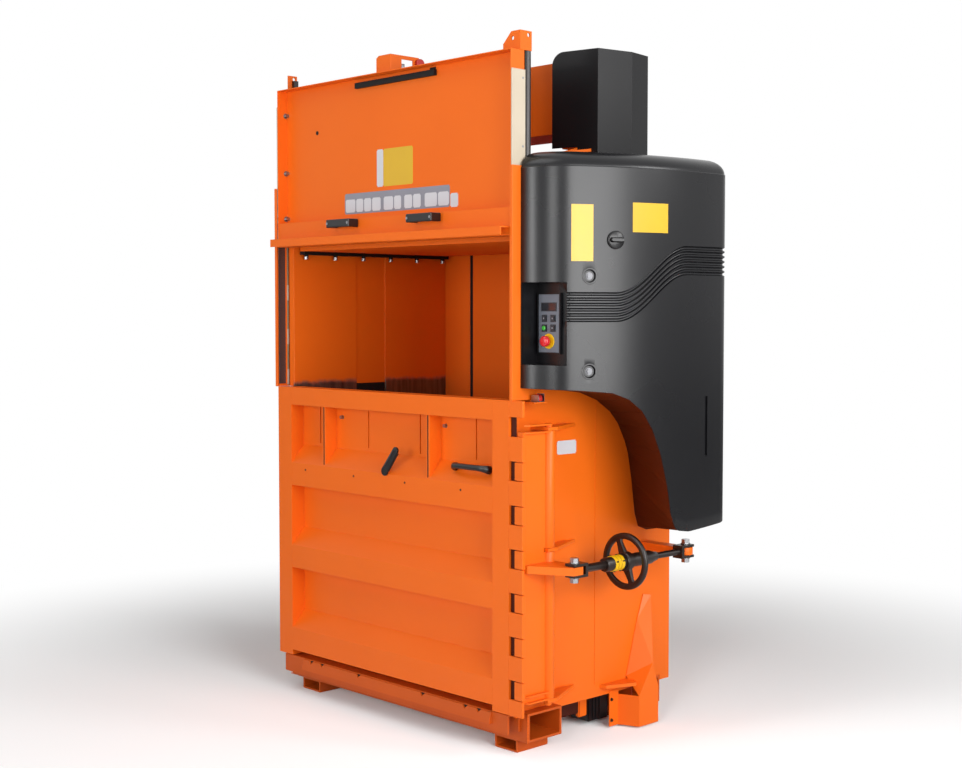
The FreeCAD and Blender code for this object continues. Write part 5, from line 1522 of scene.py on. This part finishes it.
# A thin film that follows the cover's sweep, from front to back and from low to high.
def coverFilm(name, extent, finish):
    y0, y1, z0, z1 = extent
    shell = bmesh.new()
    columns = []
    for k in range(9):
        y = y0 + (y1 - y0) * k / 8
        column = []
        for lift in (-0.4, 0.5):
            x, yy = coverSpot(y, lift)[:2]
            column.append([shell.verts.new(place(x, yy, z)) for z in (z0, z1)])
        columns.append(column)
    for one, two in zip(columns, columns[1:]):
        shell.faces.new((one[1][0], two[1][0], two[1][1], one[1][1]))
        shell.faces.new((one[0][1], two[0][1], two[0][0], one[0][0]))
        shell.faces.new((one[0][0], two[0][0], two[1][0], one[1][0]))
        shell.faces.new((one[1][1], two[1][1], two[0][1], one[0][1]))
    for end in (columns[0], columns[-1]):
        shell.faces.new((end[0][0], end[1][0], end[1][1], end[0][1]))
    addPiece(name, shell, "frame", finish)


sideCover()
coverPlates = {"coverPlateTall": (110, 176, 1656, 1840),
               "coverPlateWide": (309, 445, 1753, 1850)}
for name, extent in coverPlates.items():
    coverFilm(name, extent, filmYellow)
softened("beam_cowl", "frame", blackCoat, 3)
print("cover made")


softened("control_panel", "frame", fasciaGrey, 0.8)
dress(displayDark, "display_glass")
dress(keyDark, "push_button_2", "push_button_3", "push_button_4")
keyLook = {"round": 7.6, "rise": 1.2, "mark": (3.2, 5.5)}


# Each key carries a small pale mark; the green one is a round dome in a dark square.
def keyTops():
    look = keyLook
    for k in range(1, 5):
        low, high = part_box(f"push_button_{k}")
        x = (low[0] + high[0]) * 500 - origin["x"]
        z = (low[2] + high[2]) * 500
        y = low[1] * 1000 - origin["y"]
        shell = bmesh.new()
        if k == 1:
            roundMesh(shell, (x, y + 3, z), (x, y - look["rise"], z),
                      [(0, look["round"]), (0.75, look["round"]), (0.93, look["round"] - 1),
                       (1, look["round"] - 3)], 28)
            addPiece("greenKey", shell, "button_1", keyGreen, ("push_button_1",))
            shell = bmesh.new()
            blockMesh(shell, (x - 9.5, y + 1.5, z - 9.5), (x + 9.5, y + 2.2, z + 9.5))
            addPiece("greenKeyWell", shell, "frame", keyDark)
            continue
        wide, tall = look["mark"]
        blockMesh(shell, (x - wide / 2, y - 0.3, z - tall / 2),
                  (x + wide / 2, y + 0.2, z + tall / 2))
        addPiece(f"keyMark_{k}", shell, f"button_{k}", keyPale)


keyTops()
panelLook = {"face": 99, "left": 675, "wide": 94, "low": 1358, "high": 191,
             "keys": ((702, 741), (1438, 1470)), "keyHalf": 9, "bar": 3,
             "window": (690, 754, 1496, 1519), "surround": 5, "floor": 104.8}


# Four bars round the outside of an opening, between two depths.
def barsRound(shell, opening, wide, depths):
    left, right, low, high = opening
    for a, b, c, d in ((left - wide, left, low - wide, high + wide),
                       (right, right + wide, low - wide, high + wide),
                       (left, right, high, high + wide), (left, right, low - wide, low)):
        blockMesh(shell, (a, depths[0], c), (b, depths[1], d))


# Dark frames round the keys, two windows for the display and a surround for the panel.
def panelTrims():
    look = panelLook
    face, half, wide = look["face"], look["keyHalf"], look["bar"]
    depths = (face - 0.8, face + 0.5)
    shell = bmesh.new()
    for x in look["keys"][0]:
        for z in look["keys"][1]:
            barsRound(shell, (x - half, x + half, z - half, z + half), wide, depths)
    barsRound(shell, look["window"], wide, depths)
    left, right, low, high = look["window"]
    middle = (left + right) / 2
    blockMesh(shell, (middle - 4, depths[0], low), (middle + 4, depths[1], high))
    addPiece("keyFrames", shell, "frame", keyDark)
    shell = bmesh.new()
    left, low = look["left"], look["low"]
    barsRound(shell, (left, left + look["wide"], low, low + look["high"]), look["surround"],
              (face - 2, look["floor"]))
    addPiece("panelSurround", shell, "frame", coverBlack)


panelTrims()


stopLook = {"x": 722, "z": 1395, "neck": (99.9, 90, 6), "head": (90.6, 68.8),
            "crown": [(0, 11), (0.1, 15), (0.22, 17.4), (0.5, 18), (0.78, 17.4), (0.9, 15.5),
                      (0.97, 12), (1, 8)]}


# A red mushroom head on a slim neck over a yellow ring.
def emergencyStop():
    x, z = stopLook["x"], stopLook["z"]
    back, front, radius = stopLook["neck"]
    shell = bmesh.new()
    roundMesh(shell, (x, back, z), (x, front, z), [(0, radius), (1, radius)], 28)
    back, front = stopLook["head"]
    roundMesh(shell, (x, back, z), (x, front, z), stopLook["crown"], 36)
    addPiece("stopMushroom", shell, "stop", stopRed, ("stop_head",), 55)
    softened("stop_collar", "frame", markYellow, 1)


emergencyStop()


mainsLook = {"back": 249, "z": 1726, "dial": (0.4, 8),
             "rounds": [(0, 30), (0.55, 30), (0.85, 27.5), (1, 25.5)],
             "grip": ((7.6, 8.5, 27), (15, 7, 25.5), (19.6, 4.5, 23)),
             "corners": ((-1, -0.8), (0, -1), (1, -0.8), (1, 0.8), (0, 1), (-1, 0.8))}


# A black rotary knob with a raised grip, on the cover's curve.
def mainsKnob():
    look = mainsLook
    x, y, out = coverSpot(look["back"], 0)
    up = Vector((0, 0, 1))
    across = up.cross(out)
    centre = Vector((x, y, look["z"]))
    shell = bmesh.new()
    foot, head = (tuple(centre + out * depth) for depth in look["dial"])
    roundMesh(shell, foot, head, look["rounds"], 40)
    rings = [[shell.verts.new(place(*(centre + out * depth + up * (u * wide)
                                      + across * (v * tall)))) for u, v in look["corners"]]
             for depth, wide, tall in look["grip"]]
    joinRings(shell, rings)
    addPiece("mainsKnob", shell, "mains", handleBlack, ("mains_switch",), 35)


mainsKnob()
print("controls made")

bpy.context.scene.view_settings.view_transform = "Standard"
